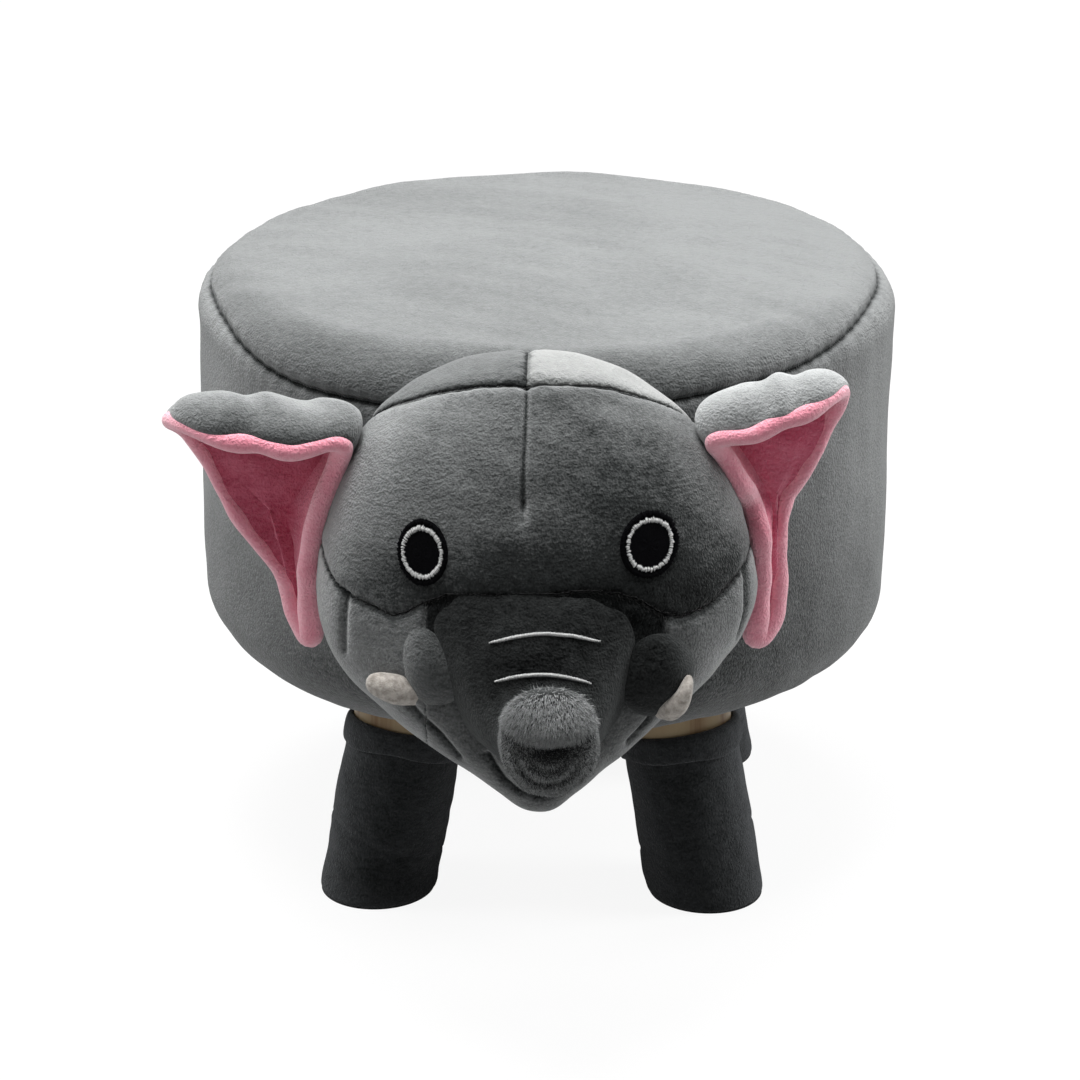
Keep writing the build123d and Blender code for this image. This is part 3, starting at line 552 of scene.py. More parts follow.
def drum_surface(place, angle):
    """Points at places along the profile and angles round the axis, moved along the normal where it is uneven."""
    seam = seam_place(angle)
    radius, height = profile_at(place)
    ahead_radius, ahead_height = profile_at(place + 1)
    behind_radius, behind_height = profile_at(place - 1)
    step = np.hypot(ahead_radius - behind_radius, ahead_height - behind_height)
    out = -(ahead_height - behind_height) / step
    up = (ahead_radius - behind_radius) / step
    flat = xyz(radius * np.cos(angle), radius * np.sin(angle), height)
    away = np.abs(place - seam)
    puckers = np.sin(angle * SEAT_RADIUS / PUCKER + 2 * wander(flat, 40, 3))
    lift = -SEAM_DEPTH * hump(away, SEAM_WIDTH) + SEAM_SWELL * hump(away - 9, 6)
    lift += PUCKER_DEPTH * puckers * np.exp(-away / 5)
    lift += stuffing(flat, 11, (0.5, 75), (0.18, 22))
    gather = smooth_step(place, PROFILE_LENGTH[-1] - HEM_WIDTH, PROFILE_LENGTH[-1])
    lift -= gather * (0.6 + 0.9 * (1 + np.sin(HEM_FOLDS * angle + 1.5 * wander(flat, 60, 5))) / 2)
    side_seam = np.abs((angle - np.pi / 2 + np.pi) % (2 * np.pi) - np.pi) * radius
    lift -= SIDE_SEAM_DEPTH * hump(side_seam, SIDE_SEAM_WIDTH) * (place > seam)
    normal = xyz(out * np.cos(angle), out * np.sin(angle), up)
    return flat + lift[..., None] * normal


# %% Two cover panels
def cover_panel(name, from_seam, rows, columns):
    """A panel as rows from the seam to the hem, or from the top's centre to the seam, closer together at the seam."""
    angle = turns(columns)[None, :]
    share = np.linspace(0, 1, rows)[:, None]
    seam = seam_place(angle)
    if from_seam:
        place = seam + share**1.5 * (PROFILE_LENGTH[-1] - seam)
    else:
        place = (1 - (1 - share) ** 1.5) * seam
    grid = drum_surface(place, angle + 0 * share)
    # The seam mark gives the plush its painted shade in the seam's crease.
    return make_mesh(name, grid, core=(0, 0, 170), seam=hump(place - seam, 1.2))


top_mesh = cover_panel("seat_top_plush", False, 100, 480)
side_mesh = cover_panel("seat_side_plush", True, 104, 460)
add_piece(top_mesh, light_grey, "seat", ("cover_top_panel", "seat_cushion"), COVER_WALL)
add_piece(side_mesh, side_grey, "seat", ("cover_side_panel", "side_padding"), COVER_WALL)

# %% [markdown]
# ## Head
# The head is a stuffed pouch sewn to the drum: wide cheeks, a round crown and a narrow chin. One smooth surface gives
# its form, level by level from chin to crown. The seams are curves on that surface, and the surface is cut along
# them into the real panels, after the thread's pull has been pressed in.

# %% The head's form
DRUM_GAP, HEAD_HALF_WIDTH, HEAD_DEPTH = 140.3, 81.0, 80.0
CHIN_HEIGHT, HEAD_RISE = 104.0, 153.0
# Each level: share of the rise, half width, depth of the face, how far the back stands off, sideways shift in mm
HEAD_LEVELS = [
    (-0.012, 0, 0.76, 0.76, 2.5),
    (0, 0.11, 0.90, 0.60, 2.0),
    (0.04, 0.22, 0.96, 0.46, 1.5),
    (0.10, 0.39, 1.0, 0.30, 0.5),
    (0.19, 0.645, 1.0, 0.12, -2.0),
    (0.29, 0.865, 0.98, 0.02, -1.5),
    (0.44, 0.985, 0.95, 0, 0.5),
    (0.59, 0.95, 0.90, 0, 0),
    (0.74, 0.86, 0.80, 0, -0.5),
    (0.86, 0.69, 0.65, 0, -1.5),
    (0.94, 0.48, 0.50, 0, -2.0),
    (0.98, 0.30, 0.38, 0.04, -2.0),
    (1.0, 0.14, 0.28, 0.10, -2.0),
    (1.006, 0, 0.19, 0.19, -2.0),
]
HEAD_ROWS, HEAD_COLUMNS, HEAD_POWER, WIDEST_SHARE = 280, 440, 2.4, 0.36
level_table = smooth_rows(HEAD_LEVELS, HEAD_ROWS)


def head_outline(levels, angle):
    """Each level's outline: a rounded oval in front of its widest place, behind it a curve that reaches the drum."""
    rise, width, depth, off, shift = (levels[:, k : k + 1] for k in range(5))
    cosine, sine = round_power(angle[None, :], HEAD_POWER)
    x = shift + np.maximum(width, 0) * HEAD_HALF_WIDTH * cosine
    front = DRUM_GAP + depth * HEAD_DEPTH
    near = DRUM_GAP + off * HEAD_DEPTH
    wall = np.sqrt(DRUM_GAP**2 - x**2) + off * HEAD_DEPTH
    widest = near + WIDEST_SHARE * (front - near)
    reach = np.where(sine >= 0, widest + (front - widest) * sine, widest + (widest - wall) * sine)
    return xyz(x, -reach, CHIN_HEIGHT + rise * HEAD_RISE)


def face_y(x, z):
    """The y of the face in front of a place: the same outline, solved for its depth."""
    order = np.argsort(level_table[:, 0])
    rise = (z - CHIN_HEIGHT) / HEAD_RISE
    width, depth, off, shift = (np.interp(rise, level_table[order, 0], level_table[order, k]) for k in range(1, 5))
    front, near = DRUM_GAP + depth * HEAD_DEPTH, DRUM_GAP + off * HEAD_DEPTH
    widest = near + WIDEST_SHARE * (front - near)
    across = np.clip(np.abs((x - shift) / (width * HEAD_HALF_WIDTH)), 0, 1)
    return -(widest + (front - widest) * (1 - across**HEAD_POWER) ** (1 / HEAD_POWER))


def on_face(pairs):
    """Points on the face at (x, z) pairs, about 1 mm apart along the line through them."""
    pairs = smooth_rows(pairs, 40 * len(pairs))
    return xyz(pairs[:, 0], face_y(pairs[:, 0], pairs[:, 1]), pairs[:, 1])


def distance_to(points, line):
    """The distance from each point to the nearest point of a line."""
    flat = points.reshape(-1, 3)
    nearest = [np.linalg.norm(part[:, None] - line[None], axis=-1).min(1) for part in np.array_split(flat, 40)]
    return np.concatenate(nearest).reshape(points.shape[:-1])


# %% Seams on the head
# Seams as pairs in mm. The crown's is x and the sum of y and z; every other one is x and z. The crown's two panels
# meet at SPLIT_X, and the jaw ends at JAW_LEFT and JAW_RIGHT.
CROWN_SEAM = [(-90, 80), (-59, 79.7), (-43, 78.9), (-17, 79.2), (-3, 78.5), (13, 80.1), (27, 82), (47, 80), (90, 81)]
FACE_SEAM = [
    (-84, 197), (-77, 189), (-70, 184), (-64, 181), (-57, 179.5), (-49, 177), (-44, 179), (-38, 183), (-30, 186.5),
    (-15, 187.5), (3, 187.5), (18, 188.8), (30, 188), (38, 185), (45, 180), (53, 177), (61, 179), (68, 183),
    (77, 189), (84, 196),
]
SPLIT_X, JAW_LEFT, JAW_RIGHT = -2.7, -37.5, 48.0
SEAM_LINES = {
    "dart": [(-2.6, 252), (-2.6, 240), (-3.1, 229), (-3, 217)],
    "left cheek dart": [(-66, 181), (-66.5, 170), (-67, 160)],
    "right cheek dart": [(76, 186), (76.5, 173), (74, 162)],
    "left jaw": [(-46, 150), (-39, 141), (-32, 134), (-26, 126)],
    "right jaw": [(48, 148), (42, 138), (35, 130)],
    "chin fold": [(-15, 129), (-9, 119), (-1, 113), (9, 112), (18, 119)],
}
# The seam marks give the plush painted shade in the seams; LINE_DARKNESS is its share at darts, jaw lines and chin
# fold.
PANEL_MARK, LINE_MARK, LINE_DARKNESS = 1.1, 1.0, 0.35
FOLD_WIDTH, SWELL_PLACE, SWELL_WIDTH, LINE_DEPTH = 1.6, 6, 4, 1.6
head_grid = head_outline(level_table, turns(HEAD_COLUMNS))
head_normal = outward_normals(head_grid)
crown_away = head_grid[..., 1] + head_grid[..., 2] - np.interp(head_grid[..., 0], *np.array(CROWN_SEAM).T)
crown_away = np.abs(crown_away) * 0.9
face_away = np.abs(head_grid[..., 2] - np.interp(head_grid[..., 0], *np.array(FACE_SEAM).T))
split_away = np.abs(head_grid[..., 0] - SPLIT_X) + 40 * (head_grid[..., 1] + head_grid[..., 2] < 79)
head_lift = stuffing(head_grid, 21, (0.55, 45), (0.2, 16))
puckers = np.sin(wander(head_grid, 7, 23) * 3)
head_seam = np.zeros(head_grid.shape[:2])
for away, depth in ((crown_away, 1.3), (face_away, 0.7), (split_away, 1.0)):
    head_seam = np.maximum(head_seam, hump(away, PANEL_MARK))
    head_lift -= depth * hump(away, FOLD_WIDTH) - 0.25 * hump(away - SWELL_PLACE, SWELL_WIDTH)
    head_lift += 0.22 * puckers * np.exp(-away / 4)
for name, line in SEAM_LINES.items():
    away = distance_to(head_grid, on_face(line))
    head_seam = np.maximum(head_seam, LINE_DARKNESS * hump(away, LINE_MARK))
    width = 1.2 if name == "dart" else FOLD_WIDTH
    head_lift -= LINE_DEPTH * hump(away, width) - 0.3 * hump(away - SWELL_PLACE, SWELL_WIDTH)
dart_end = distance_to(head_grid, on_face([(-3, 219), (-3.6, 213)]))
head_lift -= LINE_DEPTH * hump(dart_end, 1.5) + 1.0 * hump(dart_end, 4)
pole = np.minimum(np.arange(HEAD_ROWS), np.arange(HEAD_ROWS)[::-1])[:, None]
head_grid = head_grid + (head_lift * smooth_step(pole, 0, 12))[..., None] * head_normal
head_mesh = make_mesh("head_form", head_grid, seam=head_seam)
print("head between z", round(head_grid[..., 2].min()), "and", round(head_grid[..., 2].max()))


# %% [markdown]
# A seam is a curve, and Blender's knife cuts along planes. So the head is first sheared, by sliding every point along
# one axis, until the seam lies in a plane. It is cut there and slid back, which leaves a clean curved edge.

# %% Cut the panels
def slide(mesh, way, axis, weights, other, table):
    """Slides every point along an axis: way -1 brings the seam into a plane, and 1 brings it back."""
    points = read_rows(mesh.vertices, "co")
    seam = np.interp(points[:, other], table[:, 0], table[:, 1])
    points[:, axis] += way * (seam - points @ weights + points[:, axis])
    mesh.vertices.foreach_set("co", points.ravel())


def cut(mesh, axis, weights, other, table, side):
    """Keeps one side of a seam: where the weighted sum of x, y and z passes a table's value at the other coordinate."""
    seam = (axis, np.array(weights, float), other, np.array(table, float) * MM)
    slide(mesh, -1, *seam)
    normal = [0, 0, 0]
    normal[axis] = -side
    with editing(mesh) as shape:
        everything = shape.verts[:] + shape.edges[:] + shape.faces[:]
        bmesh.ops.bisect_plane(
            shape, geom=everything, dist=1e-7, plane_co=(0, 0, 0), plane_no=normal, clear_outer=True
        )
    slide(mesh, 1, *seam)


def cut_at(x):
    """A cut along the upright plane at x."""
    return 0, (1, 0, 0), 2, [(90, x), (260, x)]


def tuck(mesh, depth):
    """Pulls a panel's edge inwards along the surface's normal, as its seam does."""
    with editing(mesh) as shape:
        shape.normal_update()
        for point in [point for point in shape.verts if point.is_boundary]:
            point.co -= point.normal * depth * MM


crown_cut, face_cut = (2, (0, 1, 1), 0, CROWN_SEAM), (2, (0, 0, 1), 0, FACE_SEAM)
middle_cut, left_cut, right_cut = cut_at(SPLIT_X), cut_at(JAW_LEFT), cut_at(JAW_RIGHT)
PANELS = {
    "crown_left": (brushed_grey, "plush_mid_grey", [(crown_cut, 1), (middle_cut, -1)]),
    "crown_right": (crown_grey, "plush_mid_grey", [(crown_cut, 1), (middle_cut, 1)]),
    "forehead": (forehead_grey, "plush_mid_grey", [(crown_cut, -1), (face_cut, 1)]),
    "cheek_left": (cheek_grey, "plush_mid_grey", [(crown_cut, -1), (face_cut, -1), (left_cut, -1)]),
    "cheek_right": (cheek_grey, "plush_mid_grey", [(crown_cut, -1), (face_cut, -1), (right_cut, 1)]),
    "jaw": (jaw_grey, "plush_dark_grey", [(crown_cut, -1), (face_cut, -1), (left_cut, 1), (right_cut, -1)]),
}
for panel, (finish, slot, cuts) in PANELS.items():
    mesh = head_mesh.copy()
    mesh.name = "head_" + panel + "_plush"
    for seam, side in cuts:
        cut(mesh, *seam, side)
    tuck(mesh, 0.9)
    stands_for = ["head_" + panel] + (["head_stuffing"] if panel == "forehead" else [])
    add_piece(mesh, finish, "seat", stands_for, HEAD_WALL)
bpy.data.meshes.remove(head_mesh)

# %% [markdown]
# ## Trunk
# The trunk is a stuffed tube that leaves the face between the eyes, narrows as it falls and turns up a little at its
# tip, so a dark hollow lies behind the tip. Its sections are rounded ovals between a top and a bottom line. The tip
# is a dome, stuffed full in its upper part, with a groove under that and soft rolls below, as a gathered tube has.

# %% Trunk surface
# Each section: y and z of its top, y and z of its bottom, half width, x of its centre
TRUNK_SECTIONS = [
    (-200, 196, -180, 150, 45, 0.5),
    (-212.5, 188.5, -188, 138, 42.5, 0.5),
    (-221, 180, -200, 131, 35, 1.5),
    (-228, 170.8, -215, 128.5, 27.5, 3.0),
    (-233, 163.5, -229, 128.5, 21.5, 5.0),
    (-239.5, 161.5, -238, 127.5, 17.3, 6.5),
    (-246, 167.4, -245, 128, 17.2, 7.2),
    (-251, 168.3, -250, 129, 16.6, 7.2),
]
TIP_DOME, TIP_RINGS, TRUNK_ROWS, TRUNK_COLUMNS = 8.5, 50, 120, 280
GROOVE_DEPTH, GROOVE_HALF_WIDTH, GROOVE_HALF_HEIGHT, ROLL_HEIGHT, ROLL_PITCH = 9.5, 9.5, 3.3, 0.7, 0.26
# The lower edge of the tip's full part: an arc's centre, from the middle of the tip, and its radius
ARC_ACROSS, ARC_UP, ARC_RADIUS = 0.5, 27.0, 24.5


def below_arc(across, up):
    """How far a place of the tip lies below its full upper part; above 0 is below the arc."""
    return np.hypot(across - ARC_ACROSS, up - ARC_UP) - ARC_RADIUS


def tip_depth(across, up, share):
    """How far the tip stands out: a half-sphere's depth, a full upper part, a groove along its edge, rolls below."""
    away, inside = below_arc(across, up), 1 - share**2
    depth = TIP_DOME * np.sqrt(np.clip(inside, 0, 1))
    depth = depth + 2.0 * hump(away + 6, 6) * inside - 1.2 * smooth_step(away, -1, 4) * inside
    groove = ((across - 2) / GROOVE_HALF_WIDTH) ** 2 + ((away - 3.6) / GROOVE_HALF_HEIGHT) ** 2
    depth -= GROOVE_DEPTH * np.exp(-groove) * inside
    rolls = np.cos(2 * np.pi * (share - 0.8) / ROLL_PITCH) * smooth_step(away, 4, 9) * (1 - share**8)
    return depth + ROLL_HEIGHT * rolls


def trunk_surface():
    """Ovals between the top and bottom lines, then rings that shrink to the middle of the tip."""
    power = 2.2 + 1.0 * (1 - smooth_step(np.arange(TRUNK_ROWS)[:, None], 0, 0.6 * TRUNK_ROWS))
    cosine, sine = round_power(turns(TRUNK_COLUMNS)[None, :], power)
    rows = smooth_rows(TRUNK_SECTIONS, TRUNK_ROWS)
    top_y, top_z, low_y, low_z, half_width, middle = (rows[:, k : k + 1] for k in range(6))
    y = (top_y + low_y) / 2 + (top_y - low_y) / 2 * sine
    z = (top_z + low_z) / 2 + (top_z - low_z) / 2 * sine
    tube = xyz(middle + half_width * cosine, y, z)
    share = np.cos(np.linspace(0, np.pi / 2, TIP_RINGS))[1:, None]
    cosine, sine = cosine[-1:], sine[-1:]
    end = rows[-1]
    half_height = (end[1] - end[3]) / 2
    across, up = share * end[4] * cosine, share * half_height * sine
    end_y = (end[0] + end[2]) / 2 + (end[0] - end[2]) / 2 * up / half_height
    cap = xyz(end[5] + across, end_y - tip_depth(across, up, share), (end[1] + end[3]) / 2 + up)
    return np.concatenate([tube, cap])


trunk_grid = trunk_surface()
trunk_normal = outward_normals(trunk_grid)
trunk_lift = stuffing(trunk_grid, 31, (0.4, 30), (0.15, 11))
trunk_lift *= smooth_step(np.arange(len(trunk_grid))[::-1], 0, 8)[:, None]
trunk_grid = trunk_grid + trunk_lift[..., None] * trunk_normal
root_middle = trunk_grid[0].mean(0)
trunk_grid = np.concatenate([np.broadcast_to(root_middle, (1, TRUNK_COLUMNS, 3)), trunk_grid])
add_piece(make_mesh("trunk_plush", trunk_grid), trunk_grey, "seat", ("trunk",))

# %% [markdown]
# ### Pile on the tip
# At the upper half of the tip the pile is seen end-on and its tufts stand apart, like a soft brush. Below the groove
# it is shorter. Each tuft is a thin closed pyramid with three sides, rooted at a random place of the surface and
# combed forwards and down.

# %% Tufts
def add_tufts(grid, normal, wanted, count, length, width, comb, seed):
    """Corner points and faces of tufts rooted in the wanted cells of a grid, more of them where a cell is larger."""
    random = np.random.default_rng(seed)
    side, down = grid[:-1, 1:] - grid[:-1, :-1], grid[1:, :-1] - grid[:-1, :-1]
    weight = np.linalg.norm(np.cross(side, down), axis=-1) * wanted[:-1, :-1]
    cell = random.choice(weight.size, count, p=weight.ravel() / weight.sum())
    row, column = np.unravel_index(cell, weight.shape)
    first, second = random.uniform(0, 1, (2, count, 1))
    root = grid[row, column] + side[row, column] * first + down[row, column] * second
    upright = normal[row, column]
    lean = unit(upright + np.array(comb) + random.normal(0, 0.25, (count, 3)))
    point = root + lean * length * random.uniform(0.6, 1.1, (count, 1))
    beside = np.cross(lean, random.normal(size=(count, 3)))
    beside *= width / 2 / np.linalg.norm(beside, axis=1)[:, None]
    other = np.cross(lean, beside) * 0.87
    root = root - upright * 0.3
    corners = np.stack([root + beside, root - beside / 2 + other, root - beside / 2 - other, point], 1)
    one = np.array([(0, 2, 1), (0, 1, 3), (1, 2, 3), (2, 0, 3)])
    return corners.reshape(-1, 3), (one[None] + 4 * np.arange(count)[:, None, None]).reshape(-1, 3)


PILE_ROWS = 26  # the pile starts this many rows before the end of the tube
tip_rows = np.arange(len(trunk_grid) - 1)[:, None] > TRUNK_ROWS - PILE_ROWS
tip_middle = (TRUNK_SECTIONS[-1][1] + TRUNK_SECTIONS[-1][3]) / 2
tip_surface = trunk_grid[1:]
tip_away = below_arc(tip_surface[..., 0] - TRUNK_SECTIONS[-1][5], tip_surface[..., 2] - tip_middle)
facing = tip_rows * (trunk_normal[..., 1] < 0.2)
# Where the tufts stand, how many, their length and width, how they are combed and the seed of their random draws
TUFTS = [
    (facing * smooth_step(-tip_away, -2, 0.5), 6500, 3.0, 0.26, (0, -0.1, -1.0), 35),
    (facing * smooth_step(tip_away, 2.5, 5), 9000, 1.1, 0.28, (0, -0.15, -0.9), 36),
]
(points, faces), (more_points, more_faces) = (add_tufts(tip_surface, trunk_normal * 0.7, *row) for row in TUFTS)
faces = np.concatenate([faces, more_faces + len(points)])
pile_mesh = new_mesh("trunk_tip_pile", np.concatenate([points, more_points]), faces)
add_piece(pile_mesh, tip_grey, "seat", ("trunk",))

# %% [markdown]
# ## Lip folds and tusks
# A puffed fold stands on each side of the trunk, and a small felt tusk leaves it. The folds are uneven balls half
# sunk in the face. A tusk is a blunt cone whose middle line bends upwards a little.

# %% Lip folds
LIP_ROWS, LIP_COLUMNS, TUSK_ROWS, TUSK_COLUMNS = 60, 96, 40, 48


def ball(centre, sizes, turn, seed, unevenness):
    """A ball stretched to three half sizes, turned about y, its radius uneven by a share."""
    around, down = turns(LIP_COLUMNS)[None, :], np.linspace(0, np.pi, LIP_ROWS)[:, None]
    sphere = xyz(np.sin(down) * np.cos(around), np.sin(down) * np.sin(around), np.cos(down))
    swell = 1 + unevenness * wander(sphere, 1.6, seed) * np.sin(down)
    shape = sphere * np.array(sizes) * swell[..., None]
    cosine, sine = math.cos(math.radians(turn)), math.sin(math.radians(turn))
    x = shape[..., 0] * cosine + shape[..., 2] * sine
    z = shape[..., 2] * cosine - shape[..., 0] * sine
    return xyz(x, shape[..., 1], z) + np.array(centre)


LIPS = {
    "left": ((-33, -206, 157), (13.5, 12.5, 20.5), -20, brushed_grey),
    "right": ((42.5, -207, 157), (14.5, 12.5, 16.5), 14, trunk_grey),
}
for index, (side, (centre, sizes, turn, finish)) in enumerate(LIPS.items()):
    mesh = make_mesh("lip_fold_" + side + "_plush", ball(centre, sizes, turn, 41 + index, 0.05))
    add_piece(mesh, finish, "seat", ("lip_fold_" + side,))


# %% Tusks
def rod(line, radii, columns, seed=0, unevenness=0.0):
    """A tube along a line: circles square to it, with the given radii; a radius of 0 closes an end."""
    line, radii = np.array(line, float), np.array(radii, float)
    ahead = unit(np.gradient(line, axis=0))
    guide = np.cross(ahead[0], ahead[-1])
    if np.linalg.norm(guide) < 0.3:
        guide = np.cross(ahead[0], (0.9, 0.3, 0.2))
    first = unit(np.cross(ahead, guide))
    second = np.cross(ahead, first)
    angle = turns(columns)[None, :, None]
    ring = np.cos(angle) * first[:, None] + np.sin(angle) * second[:, None]
    grid = line[:, None] + ring * radii[:, None, None]
    if unevenness:
        grid += ring * (unevenness * wander(grid, 8, seed) * (radii > 0)[:, None])[..., None]
    return grid


# Points along the middle line, the radius at the root and the share of it lost towards the tip
TUSKS = {
    "left": ([(-35, -205, 149), (-43, -209.5, 150), (-50.5, -212, 151.5), (-58.5, -212, 154.5)], 6.4, 0.28),
    "right": ([(46.5, -210, 144.5), (50.5, -215, 146.5), (54, -217, 151.5), (56, -215.5, 159)], 4.7, 0.5),
}
for index, (side, (points, thickness, taper)) in enumerate(TUSKS.items()):
    line = smooth_rows(points, TUSK_ROWS)
    share = np.linspace(0, 1, TUSK_ROWS)
    radii = thickness * (1 - taper * share**1.4) * np.sqrt(np.clip(1 - share**6, 0, 1))
    radii[0] = 0
    mesh = make_mesh("tusk_" + side + "_felt", rod(line, radii, TUSK_COLUMNS, 51 + index, 0.25))
    add_piece(mesh, felt, "seat", ("tusk_" + side,))

# %% [markdown]
# ## Embroidery
# The eyes and the two wrinkles are satin stitch: threads 0.5 mm thick laid side by side across a narrow band. Each
# thread is its own small arched tube of 28 faces, so the edge of the band is slightly ragged, as sewn.

# %% Satin stitches
STITCH_RINGS, STITCH_SIDES = 5, 6


def satin(name, starts, ends, outward, thickness):
    """Arched threads from starts to ends: a half sine wave lifts each one along outward."""
    share = np.linspace(0, 1, STITCH_RINGS)[None, :, None]
    line = starts[:, None] * (1 - share) + ends[:, None] * share
    line = line + outward[:, None] * (0.15 + 0.5 * np.sin(np.pi * share))
    beside = np.cross(unit(ends - starts), outward)
    angle = turns(STITCH_SIDES)[None, None, :, None]
    thick = thickness / 2 * np.array([0.02, 1, 1.1, 1, 0.02])[None, :, None, None]
    ring = np.cos(angle) * beside[:, None, None] + np.sin(angle) * outward[:, None, None]
    points = line[:, :, None] + ring * thick
    caps = np.array([[0, 3, 2, 1], [0, 5, 4, 3], [24, 25, 26, 27], [24, 27, 28, 29]])
    one = np.concatenate([grid_faces(STITCH_RINGS, STITCH_SIDES), caps])
    first = np.arange(len(starts))[:, None, None] * STITCH_RINGS * STITCH_SIDES
    mesh = new_mesh(name, points, (one[None] + first).reshape(-1, 4))
    with editing(mesh) as shape:
        bmesh.ops.recalc_face_normals(shape, faces=shape.faces)
    mesh.shade_smooth()
    return mesh


def face_normal(x, z):
    """The face's outward normal, from how its depth changes 1 mm to each side."""
    slope_x = (face_y(x + 1, z) - face_y(x - 1, z)) / 2
    slope_z = (face_y(x, z + 1) - face_y(x, z - 1)) / 2
    return unit(xyz(slope_x, -1, slope_z))


def on_oval(x, z, wide, high, angle):
    """Points on the face along an oval, and the face's normals there."""
    across, up = x + wide * np.cos(angle), z + high * np.sin(angle)
    return xyz(across, face_y(across, up), up), face_normal(across, up)


def edge_stitches(name, oval, angle, reaches, height, thickness):
    """Satin stitches across an oval's edge, from the first reach to the second, both shares of the oval's size."""
    x, z, wide, high = oval
    ends = []
    for reach in reaches:
        surface, normal = on_oval(x, z, wide * reach, high * reach, angle)
        ends.append(surface + normal * height)
    return satin(name, *ends, normal, thickness)


# %% Eyes
# Centre x and z, half width and half height of the patch, the same of the ring
EYES = {"left": (-38.2, 200.8, 8.9, 11.2, 7.6, 9.1), "right": (41.3, 203.8, 10.2, 11.2, 8.5, 9.0)}
RING_WIDTH, RING_PITCH, THREAD, EDGE_THREAD, EYE_RINGS, EYE_COLUMNS = 1.6, 0.575, 0.5, 0.6, 30, 120
PATCH_HEIGHT, EDGE_HEIGHT, RING_HEIGHT = 0.85, 0.45, 0.75  # above the face
for index, (side, (x, z, wide, high, ring_wide, ring_high)) in enumerate(EYES.items()):
    share = np.sqrt(np.linspace(0, 1, EYE_RINGS))[:, None]
    surface, normal = on_oval(x, z, wide * share, high * share, turns(EYE_COLUMNS)[None, :])
    outer = surface + normal * (PATCH_HEIGHT * (1 - share**10) + 0.1 * np.cos(9 * surface[..., 0]))[..., None]
    inner = (surface - normal * 0.6)[::-1]
    mesh = make_mesh("eye_" + side + "_patch", np.concatenate([outer, inner]))
    add_piece(mesh, black_thread, "seat", ("eye_patch_" + side,))
    random = np.random.default_rng(61 + index)
    count = int(np.pi * (wide + high) / THREAD)
    reaches = 0.8 + random.uniform(-0.04, 0.04, count), 1.015 + random.uniform(-0.04, 0.035, count)
    name, oval = "eye_" + side + "_patch_edge", (x, z, wide, high)
    edge = edge_stitches(name, oval, turns(count), reaches, EDGE_HEIGHT, EDGE_THREAD)
    add_piece(edge, black_thread, "seat", ("eye_patch_" + side,))
    count = int(np.pi * (ring_wide + ring_high) / RING_PITCH)
    angle = turns(count) + random.normal(0, 0.012, count)
    near = 1 - RING_WIDTH / ring_wide + random.uniform(-0.035, 0.03, count)
    reaches = near, 1 + random.uniform(-0.04, 0.04, count)
    oval = (x, z, ring_wide, ring_high)
    ring = edge_stitches("eye_" + side + "_ring", oval, angle, reaches, RING_HEIGHT, THREAD)
    add_piece(ring, pale_thread, "seat", ("eye_ring_" + side,))

# %% Wrinkles across the trunk
def on_trunk(pairs):
    """Points and normals on the trunk's upper side at (x, z) pairs: means weighted by nearness."""
    top = trunk_grid[1 : TRUNK_ROWS + 1].reshape(-1, 3)
    normal = trunk_normal[:TRUNK_ROWS].reshape(-1, 3)
    upper = (normal[:, 2] > 0.15) & (top[:, 1] > -236)
    top, normal = top[upper], normal[upper]
    away = np.linalg.norm(top[None, :, ::2] - pairs[:, None, :], axis=-1)
    weight = hump(away, 0.8) + 1e-12
    weight /= weight.sum(1, keepdims=True)
    return weight @ top, weight @ normal


# Left and right end of each row, and the z of its ends and of its middle
WRINKLES = [((-14.2, 23.9), (174.0, 177.3)), ((-12.0, 20.8), (162.0, 165.5))]
WRINKLE_PITCH, WRINKLE_HALF, WRINKLE_SLANT, WRINKLE_THREAD = 0.55, 0.8, 0.8, 0.52
stitches = []
random = np.random.default_rng(71)
for (left, right), (edge, middle) in WRINKLES:
    count = int((right - left) / WRINKLE_PITCH)
    share = np.linspace(-1, 1, count)
    x = (left + right) / 2 + share * (right - left) / 2
    z = middle + (edge - middle) * share**2 + random.uniform(-0.06, 0.06, count)
    half = WRINKLE_HALF * (1 - 0.6 * share**6)
    point, normal = on_trunk(np.stack([x, z], -1))
    ahead = np.gradient(point, axis=0)
    across = unit(np.cross(normal, ahead)) * half[:, None]
    stitches.append((point - across + normal * 0.1, point + across + normal * 0.1 + ahead * WRINKLE_SLANT, normal))
starts, ends, outward = (np.concatenate(part) for part in zip(*stitches))
wrinkle_mesh = satin("trunk_wrinkle_stitches", starts, ends, outward, WRINKLE_THREAD)
add_piece(wrinkle_mesh, pale_thread, "seat", ("trunk_wrinkles",))

# %% [markdown]
# ## Ears
# An ear is a floppy leaf of two layers, grey outside and pink inside, sewn on beside the crown and turned over at the
# top like a hood. From the middle of its back the leaf runs straight out, then round a bend: a long one at the hood,
# a quarter turn beside the cheek and hardly any at the free edge. The pink layer ends in a soft bead that shows
# beyond the grey one.

